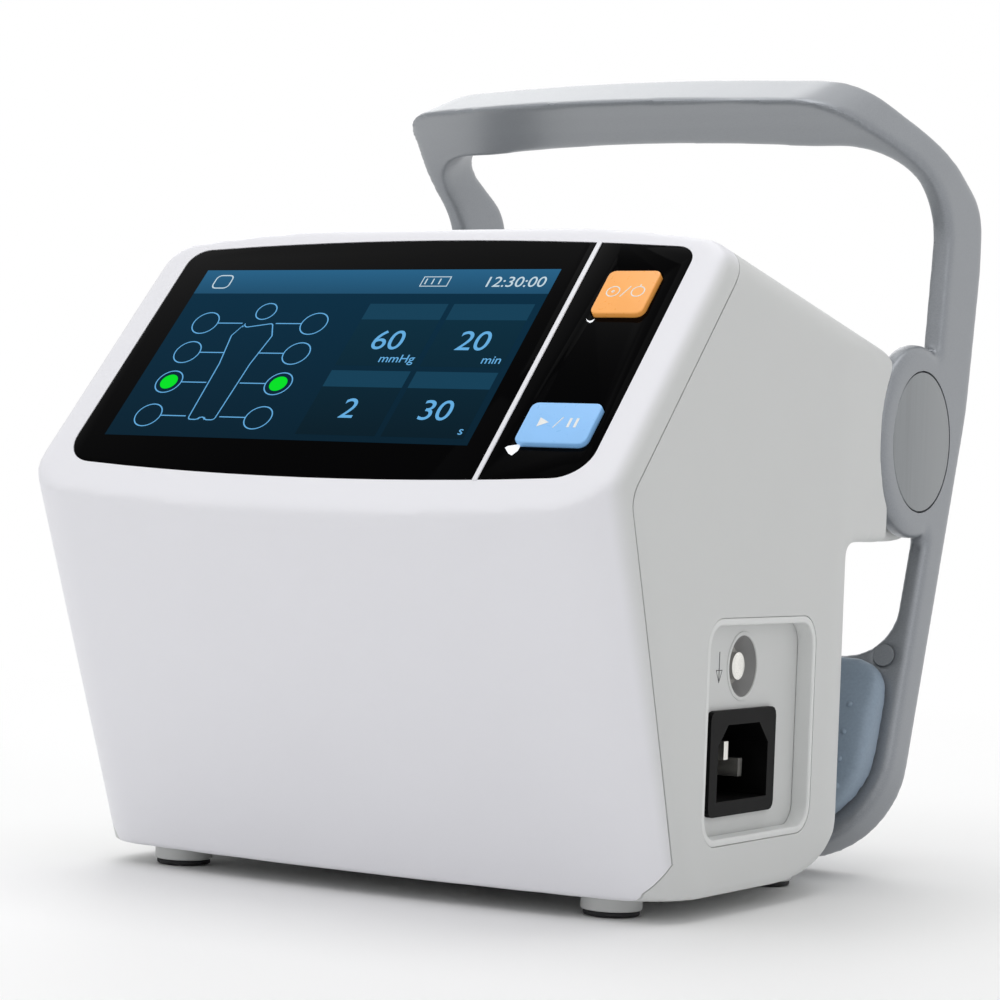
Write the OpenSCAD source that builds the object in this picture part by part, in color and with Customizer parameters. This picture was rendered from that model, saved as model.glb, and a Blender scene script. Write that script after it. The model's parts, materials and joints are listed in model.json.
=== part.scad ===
// Table-top air-compression therapy pump with a swing handle that also hooks over a bed rail.
// Millimetres. X points to the right of the pump, Y to its back and Z up.
// z = 0 is the underside of the feet, and the origin is under the middle of the whole object,
// so the lip of the screen panel and the back of the handle are equally far from it.

/* [Housing] */
// Width across the two side faces
body_w = 151; // [140:1:165]
// Depth from the front lip to the back wall
body_d = 137.2; // [130:0.2:145]
// Height of the front lip, where the screen panel meets the front face
lip_h = 82.6; // [76:0.2:88]
// Tilt of the screen panel from the horizontal, in degrees
panel_tilt = 47.65; // [44:0.05:50]
// Length of the screen panel, from the lip to the top edge
panel_len = 89; // [87:0.5:93]
// Lean of the front face from the vertical, in degrees
front_lean = 21.7; // [18:0.1:24]
// Forward bow of the front face over its width
front_bow = 4.4; // [2:0.1:7]
// Height of the crease above the floor, where the chin starts
crease_h = 11.6; // [9:0.1:14]
// Height of the underside of the housing above the floor
base_h = 4.5; // [4:0.1:6]
// Inward step of the chin between the crease and the underside
chin_in = 1.6; // [0.8:0.1:2.5]
// Radius of the two upright front corners
front_corner_r = 15; // [10:0.5:20]
// Radius of the two upright back corners
rear_corner_r = 27; // [20:1:32]
// Radius of the lower back edge
rear_base_r = 12; // [8:0.5:15]
// Rise of the top across its width
crown = 6; // [3:0.5:8]
// Radius of the long edges at the two sides of the top
shoulder_r = 10; // [7:0.5:12]
// Thickness of the moulded walls
wall = 2.5; // [2:0.1:3]

/* [Screen panel] */
// Half width of the black panel, glass and key plate together
glass_half_w = 66.6; // [64:0.1:68]
// Lower edge of the black panel, measured up the slope from the lip
glass_low = 10.1; // [9:0.1:12]
// Height of the black panel up the slope
glass_len = 73.6; // [73:0.1:75]
// Bow of its upper and lower edges
glass_bow = 2.9; // [1.5:0.1:4]
// Thickness of the glass
glass_t = 1.8; // [1.2:0.1:2.2]
// Place of the bar between the glass and the key plate, from the middle of the pump
divider_x = 41.9; // [40:0.1:44]
// Width of that bar
divider_w = 1; // [0.8:0.1:1.6]
// Width of the lit area of the display
lcd_w = 95; // [90:0.5:97]
// Height of the lit area of the display
lcd_h = 53.4; // [50:0.2:56]
// Place of the display's middle, to the left of the middle of the pump
lcd_left = 11.7; // [10:0.1:13]
// Lower edge of the lit area, up the slope from the lip
lcd_low = 20.7; // [20:0.1:22]

/* [Keys] */
// Middle of both keys, from the middle of the pump
key_x = 55.2; // [54.5:0.1:56]
// Width of the power key
power_w = 12.6; // [10:0.1:14]
// Height of the power key up the slope
power_l = 13.2; // [10:0.1:14]
// Middle of the power key, up the slope from the lip
power_v = 66.1; // [62:0.1:68]
// Width of the start and pause key
start_w = 16.8; // [14:0.1:18]
// Height of the start and pause key up the slope
start_l = 11.6; // [10:0.1:13]
// Middle of the start and pause key, up the slope from the lip
start_v = 27.1; // [25:0.1:30]
// How far the keys stand out of the key plate
key_proud = 1; // [0.9:0.1:1.6]
// Travel of a key
key_travel = 0.6; // [0.4:0.1:0.8]
// Gap round a key
key_gap = 0.35; // [0.3:0.05:0.5]

/* [Handle frame] */
// Distance of the pivot behind the lip
pivot_back = 164.2; // [160:0.2:168]
// Height of the pivot above the floor
pivot_h = 104.7; // [102:0.1:107]
// Radius of the barrel between the two arms
barrel_r = 24.6; // [23:0.1:25]
// Half width of the handle frame
frame_half_w = 72.7; // [71:0.1:73.5]
// Thickness of the arms, across the pump
arm_t = 5.2; // [5:0.1:6]
// Reach of the frame behind the pivot
frame_reach = 34.2; // [33:0.1:36]
// Depth of the arms above the pivot
upper_arm_d = 21.7; // [18:0.1:23]
// Depth of the arms below the pivot
lower_arm_d = 11.6; // [10.5:0.1:13]
// Radius of the round hub at the pivot
hub_r = 23.6; // [22:0.1:24]
// Height of the front edge of the grip above the pivot
grip_h = 79.8; // [76:0.2:84]
// Distance of that front edge in front of the pivot
grip_forward = 38.6; // [36:0.2:41]
// Depth of the grip bar
grip_d = 23.6; // [20:0.2:26]
// Thickness of the grip bar, square to its upper face
grip_t = 15.4; // [13:0.2:17]
// How far the sides run in from the arms up to the grip
grip_run_in = 7.9; // [5:0.1:10]
// Height of the upper edge of the cross plate above the floor
plate_top = 52.4; // [48:0.2:56]
// Height of the lower edge of the cross plate above the floor
plate_low = 1.6; // [1:0.1:4]
// Radius of the lower corners of the frame
plate_corner_r = 25; // [20:1:30]

/* [Clamp pad] */
// Margin between the edge of the cross plate and the pad
pad_margin = 3.2; // [2.5:0.1:5]
// How far the pad stands out of the cross plate
pad_t = 9; // [6:0.5:10]

/* [Pivot] */
// Radius of the pivot pins
pin_r = 5; // [4:0.1:6]
// Running clearance between a pin and the frame, on the radius
pin_clear = 0.05; // [0.03:0.01:0.08]
// Radius of the hub caps
cap_r = 16.9; // [15:0.1:17.5]
// Thickness of the hub caps
cap_t = 1.3; // [1:0.1:1.5]

/* [Feet] */
// Distance of the feet from the middle plane
foot_x = 56.6; // [50:0.2:60]
// Distance of the front feet behind the lip
foot_front = 46.4; // [44:0.2:50]
// Distance of the back feet behind the lip
foot_rear = 119.2; // [112:0.2:121]
// Radius of the foot bosses
foot_boss_r = 6.6; // [6:0.1:8]
// Radius of the rubber feet
foot_r = 6.1; // [5:0.1:7.5]
// Height of the rubber under its boss
foot_t = 1.1; // [0.8:0.1:1.6]

/* [Mains recess] */
// Depth of the recess in the right side
recess_d = 4; // [3:0.1:5]
// Front edge of the recess, behind the lip
recess_front = 50.7; // [49:0.1:54]
// Width of the recess
recess_w = 50; // [46:0.5:52]
// Lower edge of the recess above the floor
recess_low = 16.7; // [16:0.1:18]
// Height of the recess
recess_h = 45.4; // [44:0.2:48]
// Width of the inlet's flange
inlet_w = 31.4; // [30:0.1:32]
// Height of the inlet's flange
inlet_h = 22.8; // [22:0.1:24]
// Height of the middle of the inlet above the floor
inlet_z = 32.2; // [31:0.1:33]
// Height of the earth stud above the floor
stud_z = 52.8; // [52.5:0.1:53.5]
// Radius of the earth stud
stud_r = 3; // [2.5:0.1:3.5]

/* [Air outlets] */
// Bore radius of an outlet socket
port_bore_r = 4.5; // [3.5:0.1:5]
// Outer radius of an outlet socket
port_r = 9; // [8:0.1:10]
// Distance between the two sockets
port_pitch = 30; // [24:0.5:34]
// Height of the sockets above the floor
port_z = 44; // [40:0.5:50]
// Place of the middle between the sockets, behind the lip
port_back = 78; // [72:0.5:84]

/* [Inside] */
// Thickness of the circuit boards
board_t = 1.6; // [1.2:0.1:2]
// Radius of the pump motor
motor_r = 13; // [11:0.1:15]
// Length of the pump motor
motor_len = 34; // [28:0.5:38]
// Outer radius of the air hoses
hose_r = 3.5; // [3:0.1:4]
// Bore radius of the air hoses
hose_bore_r = 2; // [1.5:0.1:2.4]
// Wire radius of the pivot springs
wire_r = 0.9; // [0.7:0.05:1.1]
// Turns of a pivot spring
spring_turns = 4; // [3:1:5]
// Radius of the screws
screw_r = 1.5; // [1.25:0.05:1.75]

/* [Hidden] */
$fn = 64;

// Clearance that keeps neighbours apart where nothing slides
slack = 0.2;

// ---- driving points of the side view, as [y, z] ----
lip_y = -(pivot_back + frame_reach) / 2;
pivot_y = lip_y + pivot_back;
back_y = lip_y + body_d;
half_w = body_w / 2;
panel_dir = [cos(panel_tilt), sin(panel_tilt)];
panel_top = [lip_y, lip_h] + panel_len * panel_dir;
under_z = pivot_h - barrel_r;
barrel_top = pivot_h + barrel_r;
crease_y = lip_y + (lip_h - crease_h) * tan(front_lean);
// The top sweeps down from the panel's top edge and is level where it meets the barrel
sweep_run = pivot_y - panel_top.x;
sweep_drop = panel_top.y - barrel_top;
top_sweep_r = (pow(sweep_run, 2) + pow(sweep_drop, 2)) / (2 * sweep_drop);
function top_z(y) = barrel_top + top_sweep_r - sqrt(pow(top_sweep_r, 2) - pow(pivot_y - y, 2));

// ---- plane geometry ----
function unit(v) = v / norm(v);
function left_of(v) = [-v.y, v.x];
// Where the line through p along u meets the line through q along v
function meet(p, u, q, v) = p + u * ((q - p).x * v.y - (q - p).y * v.x) / (u.x * v.y - u.y * v.x);
function flat(p) = [p.x, p.y];
function corner_r(p) = len(p) > 2 ? p[2] : 0;
// The corners of a closed outline, moved inwards by i; each is [x, y, radius], and they run anticlockwise
function inset(pts, i) = [for (k = [0:len(pts) - 1])
    let (a = flat(pts[(k + len(pts) - 1) % len(pts)]), b = flat(pts[k]), c = flat(pts[(k + 1) % len(pts)]),
         u = unit(b - a), v = unit(c - b), turn = u.x * v.y - u.y * v.x,
         p = abs(turn) < 0.001 ? b + i * left_of(u) : meet(b + i * left_of(u), u, b + i * left_of(v), v),
         r = corner_r(pts[k]))
    [p.x, p.y, r == 0 ? 0 : max(0, turn > 0 ? r - i : r + i)]];
// The same outline with an arc at each corner that has a radius
function rounded(pts) = [for (k = [0:len(pts) - 1])
    let (a = flat(pts[(k + len(pts) - 1) % len(pts)]), b = flat(pts[k]), c = flat(pts[(k + 1) % len(pts)]),
         u = unit(a - b), v = unit(c - b), r = corner_r(pts[k]), half = acos(max(-1, min(1, u * v))) / 2)
    each (r == 0 || half > 89.5) ? [b] :
        let (m = b + unit(u + v) * r / sin(half),
             s = b + u * r / tan(half) - m, e = b + v * r / tan(half) - m,
             sweep = 180 - 2 * half, side = s.x * e.y - s.y * e.x > 0 ? 1 : -1,
             steps = max(3, ceil(sweep * sqrt(r) / 45)))
        [for (n = [0:steps]) let (t = side * sweep * n / steps)
            m + [s.x * cos(t) - s.y * sin(t), s.x * sin(t) + s.y * cos(t)]]];
// A rectangle between two corners with one radius
function box_pts(a, b, r) = [[a.x, a.y, r], [b.x, a.y, r], [b.x, b.y, r], [a.x, b.y, r]];

// Prisms along X, Y and Z from outlines in (y, z), (x, z) and (x, y)
module along_x(pts, from, to) translate([from, 0, 0]) rotate([90, 0, 90])
    linear_extrude(to - from) polygon(rounded(pts));
module along_y(pts, from, to) translate([0, to, 0]) rotate([90, 0, 0])
    linear_extrude(to - from) polygon(rounded(pts));
module along_z(pts, from, to) translate([0, 0, from])
    linear_extrude(to - from) polygon(rounded(pts));
// The plane of the screen panel: X across, Y up the slope from the lip, Z out of the panel
module on_panel() translate([0, lip_y, lip_h]) rotate([panel_tilt, 0, 0]) children();
module panel_slab(pts, from, to) on_panel() translate([0, 0, from])
    linear_extrude(to - from) polygon(rounded(pts));
// Children along the +X axis, placed at the pivot on the right side or on the left one
module at_pivot(side) translate([0, pivot_y, pivot_h]) mirror([side < 0 ? 1 : 0, 0, 0])
    rotate([0, 90, 0]) children();
module pipe(r, bore, from, to) translate([0, 0, from]) difference() {
    cylinder(r = r, h = to - from);
    translate([0, 0, -1]) cylinder(r = bore, h = to - from + 2);
}

// ---- outer form of the housing ----
far = 400;
sweep_n = 12;
lip_edge_r = 3;
top_edge_r = 5;
side_outline = concat(
    [[lip_y, lip_h, lip_edge_r], [crease_y, crease_h, 0], [crease_y + chin_in, base_h, 2],
     [back_y, base_h, rear_base_r], [back_y, under_z, 5],
     [pivot_y + barrel_r, under_z, barrel_r - 0.5], [pivot_y + barrel_r, barrel_top, barrel_r - 0.5]],
    [for (n = [1:sweep_n - 1]) let (y = pivot_y - sweep_run * n / sweep_n) [y, top_z(y), 0]],
    [[panel_top.x, panel_top.y, top_edge_r]]);
// Front face and its two corners, seen along the lean of the front face
front_local_y = lip_y * cos(front_lean) + lip_h * sin(front_lean);
bow_n = 10;
bow_half = half_w - front_corner_r / 2;
function bow_at(x) = front_bow * pow(x / half_w, 2);
function front_outline(i) = inset(concat(
    [[-half_w, front_local_y + far, 0], [-half_w, front_local_y + front_bow, front_corner_r]],
    [for (n = [1:bow_n - 1]) let (x = bow_half * (2 * n / bow_n - 1))
        [x, front_local_y + bow_at(x), 0]],
    [[half_w, front_local_y + front_bow, front_corner_r], [half_w, front_local_y + far, 0]]), i);
// The side faces run in to meet the arms beside the hubs
ear_half_w = frame_half_w + 0.3;
ear_start = pivot_y - 50;
ear_end = pivot_y - 19;
plan_lower = [[-half_w, lip_y - far, 0], [half_w, lip_y - far, 0],
    [half_w, back_y, rear_corner_r], [-half_w, back_y, rear_corner_r]];
plan_upper = [[-half_w, lip_y - far, 0], [half_w, lip_y - far, 0], [half_w, ear_start, 0],
    [ear_half_w, ear_end, 0], [ear_half_w, pivot_y + far, 0],
    [-ear_half_w, pivot_y + far, 0], [-ear_half_w, ear_end, 0], [-half_w, ear_start, 0]];
// Crowned top, seen along its own slope
top_slope = 11.5;
crown_n = 8;
crown_local_z = panel_top.y * cos(top_slope) + panel_top.x * sin(top_slope) + 0.5;
crown_outline = concat(
    [[-half_w, -far, 0], [half_w, -far, 0], [half_w, crown_local_z - crown, shoulder_r]],
    [for (n = [1:crown_n - 1]) let (x = half_w * 0.86 * (1 - 2 * n / crown_n))
        [x, crown_local_z - crown * pow(x / half_w, 2), 0]],
    [[-half_w, crown_local_z - crown, shoulder_r]]);
// Rounded long edges beside the screen panel
rim_r = 4;
rim_outline = [[-half_w, -far, 0], [half_w, -far, 0], [half_w, 0, rim_r], [-half_w, 0, rim_r]];

// The lower back edge keeps its radius round an upright corner, here cut square to one angle of that corner
base_outline = [[-far, base_h, 0], [rear_corner_r, base_h, rear_base_r], [rear_corner_r, far, 0], [-far, far, 0]];
module base_corner(side, angle, i) translate([side * (half_w - rear_corner_r), back_y - rear_corner_r, 0])
    mirror([side < 0 ? 1 : 0, 0, 0]) rotate([0, 0, angle]) along_y(inset(base_outline, i), -far, far);

module housing_form(i) intersection() {
    along_x(inset(side_outline, i), -half_w + i, half_w - i);
    rotate([front_lean, 0, 0]) linear_extrude(far, center = true) polygon(rounded(front_outline(i)));
    union() {
        intersection() {
            along_z(inset(plan_lower, i), 0, under_z + 2 * i + 3);
            base_corner(-1, 30, i);
            base_corner(-1, 60, i);
            base_corner(1, 30, i);
            base_corner(1, 60, i);
        }
        along_z(inset(plan_upper, i), under_z + i, far);
    }
    rotate([-top_slope, 0, 0]) along_y(inset(crown_outline, i), -far, far);
    on_panel() along_y(inset(rim_outline, i), -far, far);
}

// ---- split between the two shells, as the front shell's side view ----
split_lip = [lip_y + 13.4, lip_h + 6.4];
split_crease = [lip_y + 39.8, crease_h + 1];
front_zone_pts = [[lip_y - far / 4, base_h - 20, 0], [split_crease.x - 3.4, base_h - 20, 0],
    [split_crease.x - 3.4, base_h + 2, 0], [split_crease.x, split_crease.y, 0],
    [split_lip.x, split_lip.y, 6],
    [split_lip.x + 120 * panel_dir.x, split_lip.y + 120 * panel_dir.y, 0],
    [lip_y - far / 4, split_lip.y + 120 * panel_dir.y, 0]];

// ---- panel outlines, as [x, v] with v up the slope ----
glass_high = glass_low + glass_len;
glass_corner_low = 8;
glass_corner_high = 5;
glass_seat = glass_t + slack;
function bowed(x) = glass_bow * pow(x / glass_half_w, 2);
function edge_bow(dir, v) = [for (n = [1:6]) let (x = dir * glass_half_w * (2 * n / 7 - 1))
    [x, v + dir * bowed(x), 0]];
whole_glass = concat(
    [[-glass_half_w, glass_low + glass_bow, glass_corner_low]], edge_bow(1, glass_low),
    [[glass_half_w, glass_low + glass_bow, glass_corner_low],
     [glass_half_w, glass_high - glass_bow, glass_corner_high]], edge_bow(-1, glass_high),
    [[-glass_half_w, glass_high - glass_bow, glass_corner_high]]);
// The black panel is split by the divider into the glass on the left and the key plate on the right
module glass_zone(i, from, to) intersection() {
    panel_slab(inset(whole_glass, i), from, to);
    panel_slab(box_pts([-half_w, 0], [divider_x - divider_w / 2 - i, panel_len], 0), from - 1, to + 1);
}
module key_zone(i, from, to) intersection() {
    panel_slab(inset(whole_glass, i), from, to);
    panel_slab(box_pts([divider_x + divider_w / 2 + i, 0], [half_w, panel_len], 0), from - 1, to + 1);
}
lcd_x0 = -lcd_left - lcd_w / 2;
lcd_window = box_pts([lcd_x0, lcd_low], [lcd_x0 + lcd_w, lcd_low + lcd_h], 0);
// The key plate carries two keys on a small board below it
function key_pts(w, l, v, grow) = box_pts([key_x - w / 2 - grow, v - l / 2 - grow],
    [key_x + w / 2 + grow, v + l / 2 + grow], 1.6 + grow);
key_board_deep = 9;
switch_h = 4;
skirt_reach = key_gap + 0.5;
module_rim = 3.5;
ledge = 2.2;

// ---- places of what is inside ----
floor_z = base_h + wall;
foot_places = [[-foot_x, lip_y + foot_front], [foot_x, lip_y + foot_front],
    [-foot_x, lip_y + foot_rear], [foot_x, lip_y + foot_rear]];
foot_stem_r = 2.5;
foot_stem_h = 4;
lug_x = 30;
lug_y = split_crease.x + 6;
lug_r = 4;
lug_h = 10;
inlet_y = lip_y + recess_front + recess_w / 2 - 2;
recess_x = half_w - recess_d;
recess_y = lip_y + recess_front;
recess_pts = box_pts([recess_y, recess_low], [recess_y + recess_w, recess_low + recess_h], 5);
inlet_body_w = 27;
inlet_body_h = 19.6;
inlet_body_d = 21;
inlet_flange_t = 1.2;
function inlet_pts(w, h, r) = box_pts([inlet_y - w / 2, inlet_z - h / 2],
    [inlet_y + w / 2, inlet_z + h / 2], r);
stud_dish_r = 7;
stud_dish_d = 4.2;
stud_sunk = 0.8;
stud_wall = 2.5;
port_ys = [lip_y + port_back - port_pitch / 2, lip_y + port_back + port_pitch / 2];
port_len = 15;
port_flange_t = 1.5;
port_neck_r = port_bore_r + 2;
barb_r = hose_bore_r - 0.05;
barb_bore_r = 1;
barb_len = 5;
barrel_half_w = frame_half_w - arm_t - 1;
bush_r = pin_r + 3;
boss_r = bush_r + 2.5;
boss_len = 20;
hub_gap = 1;
hub_edge_r = 2;
module along_right(x, y, z) translate([x, y, z]) rotate([0, 90, 0]) children();

// ---- housing ----
module in_front() intersection() {
    children();
    along_x(front_zone_pts, -half_w - 1, half_w + 1);
}
module behind_front() difference() {
    children();
    along_x(front_zone_pts, -half_w - 1, half_w + 1);
}

module front_shell() color([0.93, 0.93, 0.95]) difference() {
    union() {
        in_front() difference() {
            housing_form(0);
            housing_form(wall);
        }
        // Frame under the glass
        intersection() {
            panel_slab(inset(whole_glass, -2), -glass_seat - wall, -0.5);
            housing_form(wall / 2);
        }
        // Lugs that the housing screws bite into
        for (x = [-lug_x, lug_x]) {
            translate([x, lug_y, floor_z]) cylinder(r = lug_r, h = lug_h);
            y0 = crease_y + chin_in + bow_at(lug_x) + wall / 2;
            translate([x - lug_r, y0, floor_z]) cube([2 * lug_r, lug_y - y0, lug_h]);
        }
    }
    glass_zone(-slack / 2, -glass_seat, 5);
    key_zone(-slack / 2, -glass_seat, 5);
    glass_zone(ledge, -3 * wall, 0);
    key_zone(ledge, -3 * wall, 0);
    // Room for the display and for the skirts of the keys
    panel_slab(inset(lcd_window, -module_rim - slack), -3 * wall, -glass_t);
    panel_slab(key_pts(power_w, power_l, power_v, skirt_reach + slack), -3 * wall, -glass_t);
    panel_slab(key_pts(start_w, start_l, start_v, skirt_reach + slack), -3 * wall, -glass_t);
    for (x = [-lug_x, lug_x]) translate([x, lug_y, floor_z - 1]) cylinder(r = screw_r, h = lug_h);
}

// The hub sits in a round cut beside the barrel, and the arm swings through the space behind it
module arm_clearance(side) {
    at_pivot(side) translate([0, 0, barrel_half_w]) cylinder(r = hub_r + hub_gap, h = half_w);
    at_pivot(side) translate([0, 0, barrel_half_w]) linear_extrude(half_w)
        polygon([[-far, ear_end - pivot_y], [far, ear_end - pivot_y], [far, far], [-far, far]]);
}

module rear_shell() color([0.78, 0.79, 0.78]) difference() {
    union() {
        behind_front() difference() {
            housing_form(0);
            difference() {
                housing_form(wall);
                // Walls behind the cuts that the hubs sit in
                for (side = [-1, 1]) at_pivot(side) translate([0, 0, barrel_half_w - wall]) difference() {
                    translate([-far / 2, -hub_r - hub_gap - wall, 0]) cube(far);
                    translate([0, 0, wall]) cylinder(r = hub_r + hub_gap, h = half_w);
                }
                along_x(inset(recess_pts, -wall), recess_x - wall, half_w);
            }
        }
        for (p = foot_places) translate([p.x, p.y, foot_t]) cylinder(r = foot_boss_r, h = floor_z - foot_t);
        // Pivot bosses inside the barrel
        for (side = [-1, 1]) at_pivot(side) translate([0, 0, barrel_half_w - boss_len])
            cylinder(r = boss_r, h = boss_len - wall / 2);
        // Wall behind the dish of the earth stud
        along_right(recess_x - stud_dish_d - stud_wall, inlet_y, stud_z)
            cylinder(r = stud_dish_r + 1.5, h = stud_dish_d + stud_wall - wall / 2);
    }
    for (side = [-1, 1]) {
        arm_clearance(side);
        at_pivot(side) translate([0, 0, barrel_half_w - boss_len - 1])
            cylinder(r = bush_r, h = boss_len + 5);
    }
    along_x(recess_pts, recess_x, half_w + 1);
    along_x(inlet_pts(inlet_body_w + 2 * slack, inlet_body_h + 2 * slack, 1), recess_x - 2 * wall, half_w);
    along_right(recess_x - stud_dish_d, inlet_y, stud_z) cylinder(r = stud_dish_r, h = stud_dish_d + 1);
    along_right(recess_x - 12, inlet_y, stud_z) cylinder(r = stud_r + slack, h = 12);
    for (y = port_ys) along_right(-half_w - 1, y, port_z) cylinder(r = port_neck_r, h = 3 * wall);
    for (p = foot_places) translate([p.x, p.y, foot_t - 1]) cylinder(r = foot_stem_r, h = foot_stem_h + 1);
    for (x = [-lug_x, lug_x]) translate([x, lug_y, base_h - 1]) {
        cylinder(r = screw_r + slack, h = 2 * wall);
        cylinder(r = screw_head_r + slack, h = screw_head_t + 1);
    }
    // Air intake slots in the floor
    for (n = [-slot_n:slot_n]) translate([n * slot_pitch - slot_w / 2, lip_y + slot_back, base_h - 1])
        cube([slot_w, slot_len, 2 * wall]);
}
slot_n = 4;
slot_pitch = 6;
slot_w = 2.5;
slot_back = 62;
slot_len = 30;
screw_head_r = 2 * screw_r;
screw_head_t = 1;

module housing_screws() color([0.5, 0.5, 0.52]) for (x = [-lug_x, lug_x])
    translate([x, lug_y, base_h]) difference() {
        union() {
            cylinder(r = screw_head_r, h = screw_head_t);
            cylinder(r = screw_r, h = wall + lug_h - 2);
        }
        translate([0, 0, -1]) cylinder(r = screw_r * 0.6, h = 1.6, $fn = 6);
    }

// ---- screen panel ----
module display_glass() color([0.02, 0.02, 0.03]) glass_zone(0, -glass_t, 0);

light_r = 1.3;
light_places = [[key_x - power_w / 2, power_v - power_l / 2 - 2.4],
    [key_x - start_w / 2 + 0.8, start_v - start_l / 2 - 2.4]];
module key_plate() color([0.02, 0.02, 0.03]) difference() {
    key_zone(0, -glass_t, 0);
    panel_slab(key_pts(power_w, power_l, power_v, key_gap), -glass_t - 1, 1);
    panel_slab(key_pts(start_w, start_l, start_v, key_gap), -glass_t - 1, 1);
    for (p = light_places) on_panel() translate([p.x, p.y, -glass_t - 1])
        cylinder(r = light_r, h = glass_t + 2);
}
module light_pipe(p) color([0.85, 0.87, 0.88]) on_panel() translate([p.x, p.y, -key_board_deep + 1.5])
    cylinder(r = light_r, h = key_board_deep - 1.4);
module power_light() light_pipe(light_places[0]);
module run_light() light_pipe(light_places[1]);

skirt_t = 1;
skirt_top = -glass_t - slack;
module key(w, l, v) {
    panel_slab(key_pts(w, l, v, 0), skirt_top - skirt_t, key_proud);
    // Skirt that keeps the key from coming out
    panel_slab(key_pts(w, l, v, skirt_reach), skirt_top - skirt_t, skirt_top);
    on_panel() translate([key_x, v, -key_board_deep + switch_h + key_travel + slack])
        cylinder(r = 2, h = key_board_deep - switch_h - key_travel - slack + skirt_top);
}
module power_button() color([0.98, 0.62, 0.28]) key(power_w, power_l, power_v);
module start_button() color([0.52, 0.74, 0.95]) key(start_w, start_l, start_v);

module key_board() color([0.1, 0.35, 0.2]) {
    panel_slab(box_pts([key_x - 9.5, start_v - 11], [key_x + 8.2, power_v + 9], 1),
        -key_board_deep - board_t, -key_board_deep);
    for (v = [power_v, start_v]) on_panel() translate([key_x, v, -key_board_deep]) {
        translate([-3, -3, 0]) cube([6, 6, switch_h - 1]);
        cylinder(r = 1.7, h = switch_h);
    }
    for (p = light_places) on_panel() translate([p.x - 1, p.y - 1, -key_board_deep]) cube([2, 2, 1.5]);
    // Spacers up to the key plate
    for (n = [-1, 1]) on_panel() translate([key_x + 6, (power_v + start_v) / 2 + 8 * n, -key_board_deep])
        cylinder(r = 1.6, h = key_board_deep - glass_t);
}

module_t = 4.5;
bracket_t = 1.5;
bracket_deep = glass_t + module_t;
module display_module() color([0.25, 0.26, 0.28])
    panel_slab(inset(lcd_window, -module_rim), -bracket_deep, -glass_t);
module display_bracket() color([0.6, 0.62, 0.64]) {
    glass_zone(ledge + 1, -bracket_deep - bracket_t, -bracket_deep);
    // Rim that reaches up to the glass
    difference() {
        glass_zone(ledge + 1, -bracket_deep, -glass_t);
        panel_slab(inset(lcd_window, -module_rim - slack), -2 * bracket_deep, 0);
    }
}

// The main board hangs on four spacers behind the bracket
spacer_h = 5;
main_deep = bracket_deep + bracket_t + spacer_h;
chip_t = 2;
plug_h = 6;
capacitor_h = 9;
module main_board() color([0.08, 0.32, 0.2]) {
    a = [lcd_x0 + 1.2, lcd_low - 3.7];
    b = [lcd_x0 + lcd_w - 1.8, lcd_low + lcd_h + 4.9];
    under = -main_deep - board_t;
    panel_slab(box_pts(a, b, 1), under, -main_deep);
    for (x = [a.x + 6, b.x - 6], v = [a.y + 5, b.y - 5]) on_panel() translate([x, v, -main_deep])
        cylinder(r = 2.5, h = spacer_h);
    // Processor, connectors and capacitors
    on_panel() translate([a.x + 28, a.y + 23, under - chip_t]) cube([16, 16, chip_t]);
    for (n = [0:3]) on_panel() translate([a.x + 8 + 20 * n, a.y + 3, under - plug_h])
        cube([13, 7, plug_h]);
    for (n = [0:2]) on_panel() translate([b.x - 26 + 9 * n, b.y - 10, under - capacitor_h])
        cylinder(r = 3.5, h = capacitor_h);
}

// ---- inside the rear shell ----
battery_w = 38;
battery_l = 62;
battery_h = 19;
battery_x = -half_w + wall + 5;
battery_y = back_y - 25.2 - battery_l;
module battery_pack() color([0.15, 0.3, 0.6])
    along_y(box_pts([battery_x, floor_z], [battery_x + battery_w, floor_z + battery_h], 4),
        battery_y, battery_y + battery_l);

// Socket, hose bend, valve block, hose and pump follow one another from the left side inwards
hose_gap = 0.5;
bend_r = 8;
block_w = 18;
block_h = 16;
block_z = 66;
block_x = -half_w + port_len + barb_len + bend_r + hose_gap;
head_w = 30;
head_r = 12;
head_t = 6;
cover_r = 10;
cover_t = 3;
pump_at = [block_x + block_w / 2 + 2 * (barb_len + hose_gap) + head_w / 2,
    back_y - wall - 4.7 - cover_t - head_t - head_w / 2, block_z + 2];
module air_pump() color([0.45, 0.46, 0.48]) translate(pump_at) {
    translate([head_w / 2, 0, 0]) rotate([0, 90, 0]) {
        cylinder(r = motor_r, h = motor_len);
        cylinder(r = 3, h = motor_len + 4);
    }
    translate([-head_w / 2, -head_w / 2, -head_w / 2]) cube(head_w);
    // Two diaphragm heads with their covers
    for (s = [-1, 1]) translate([0, s * head_w / 2, 0]) rotate([s * -90, 0, 0]) {
        cylinder(r = head_r, h = head_t);
        cylinder(r = cover_r, h = head_t + cover_t);
    }
    along_right(-head_w / 2 - barb_len, 0, 0) pipe(barb_r, barb_bore_r, 0, barb_len);
}
cradle_w = head_w - 8;
module pump_cradle() color([0.12, 0.12, 0.13]) difference() {
    w = cradle_w;
    h = pump_at.z - head_w / 2 - floor_z;
    translate([pump_at.x - w / 2, pump_at.y - w / 2, floor_z]) cube([w, w, h]);
    translate([pump_at.x - w / 2 + 4, pump_at.y - w, floor_z + 4]) cube([w - 8, 2 * w, h - 8]);
}

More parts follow.
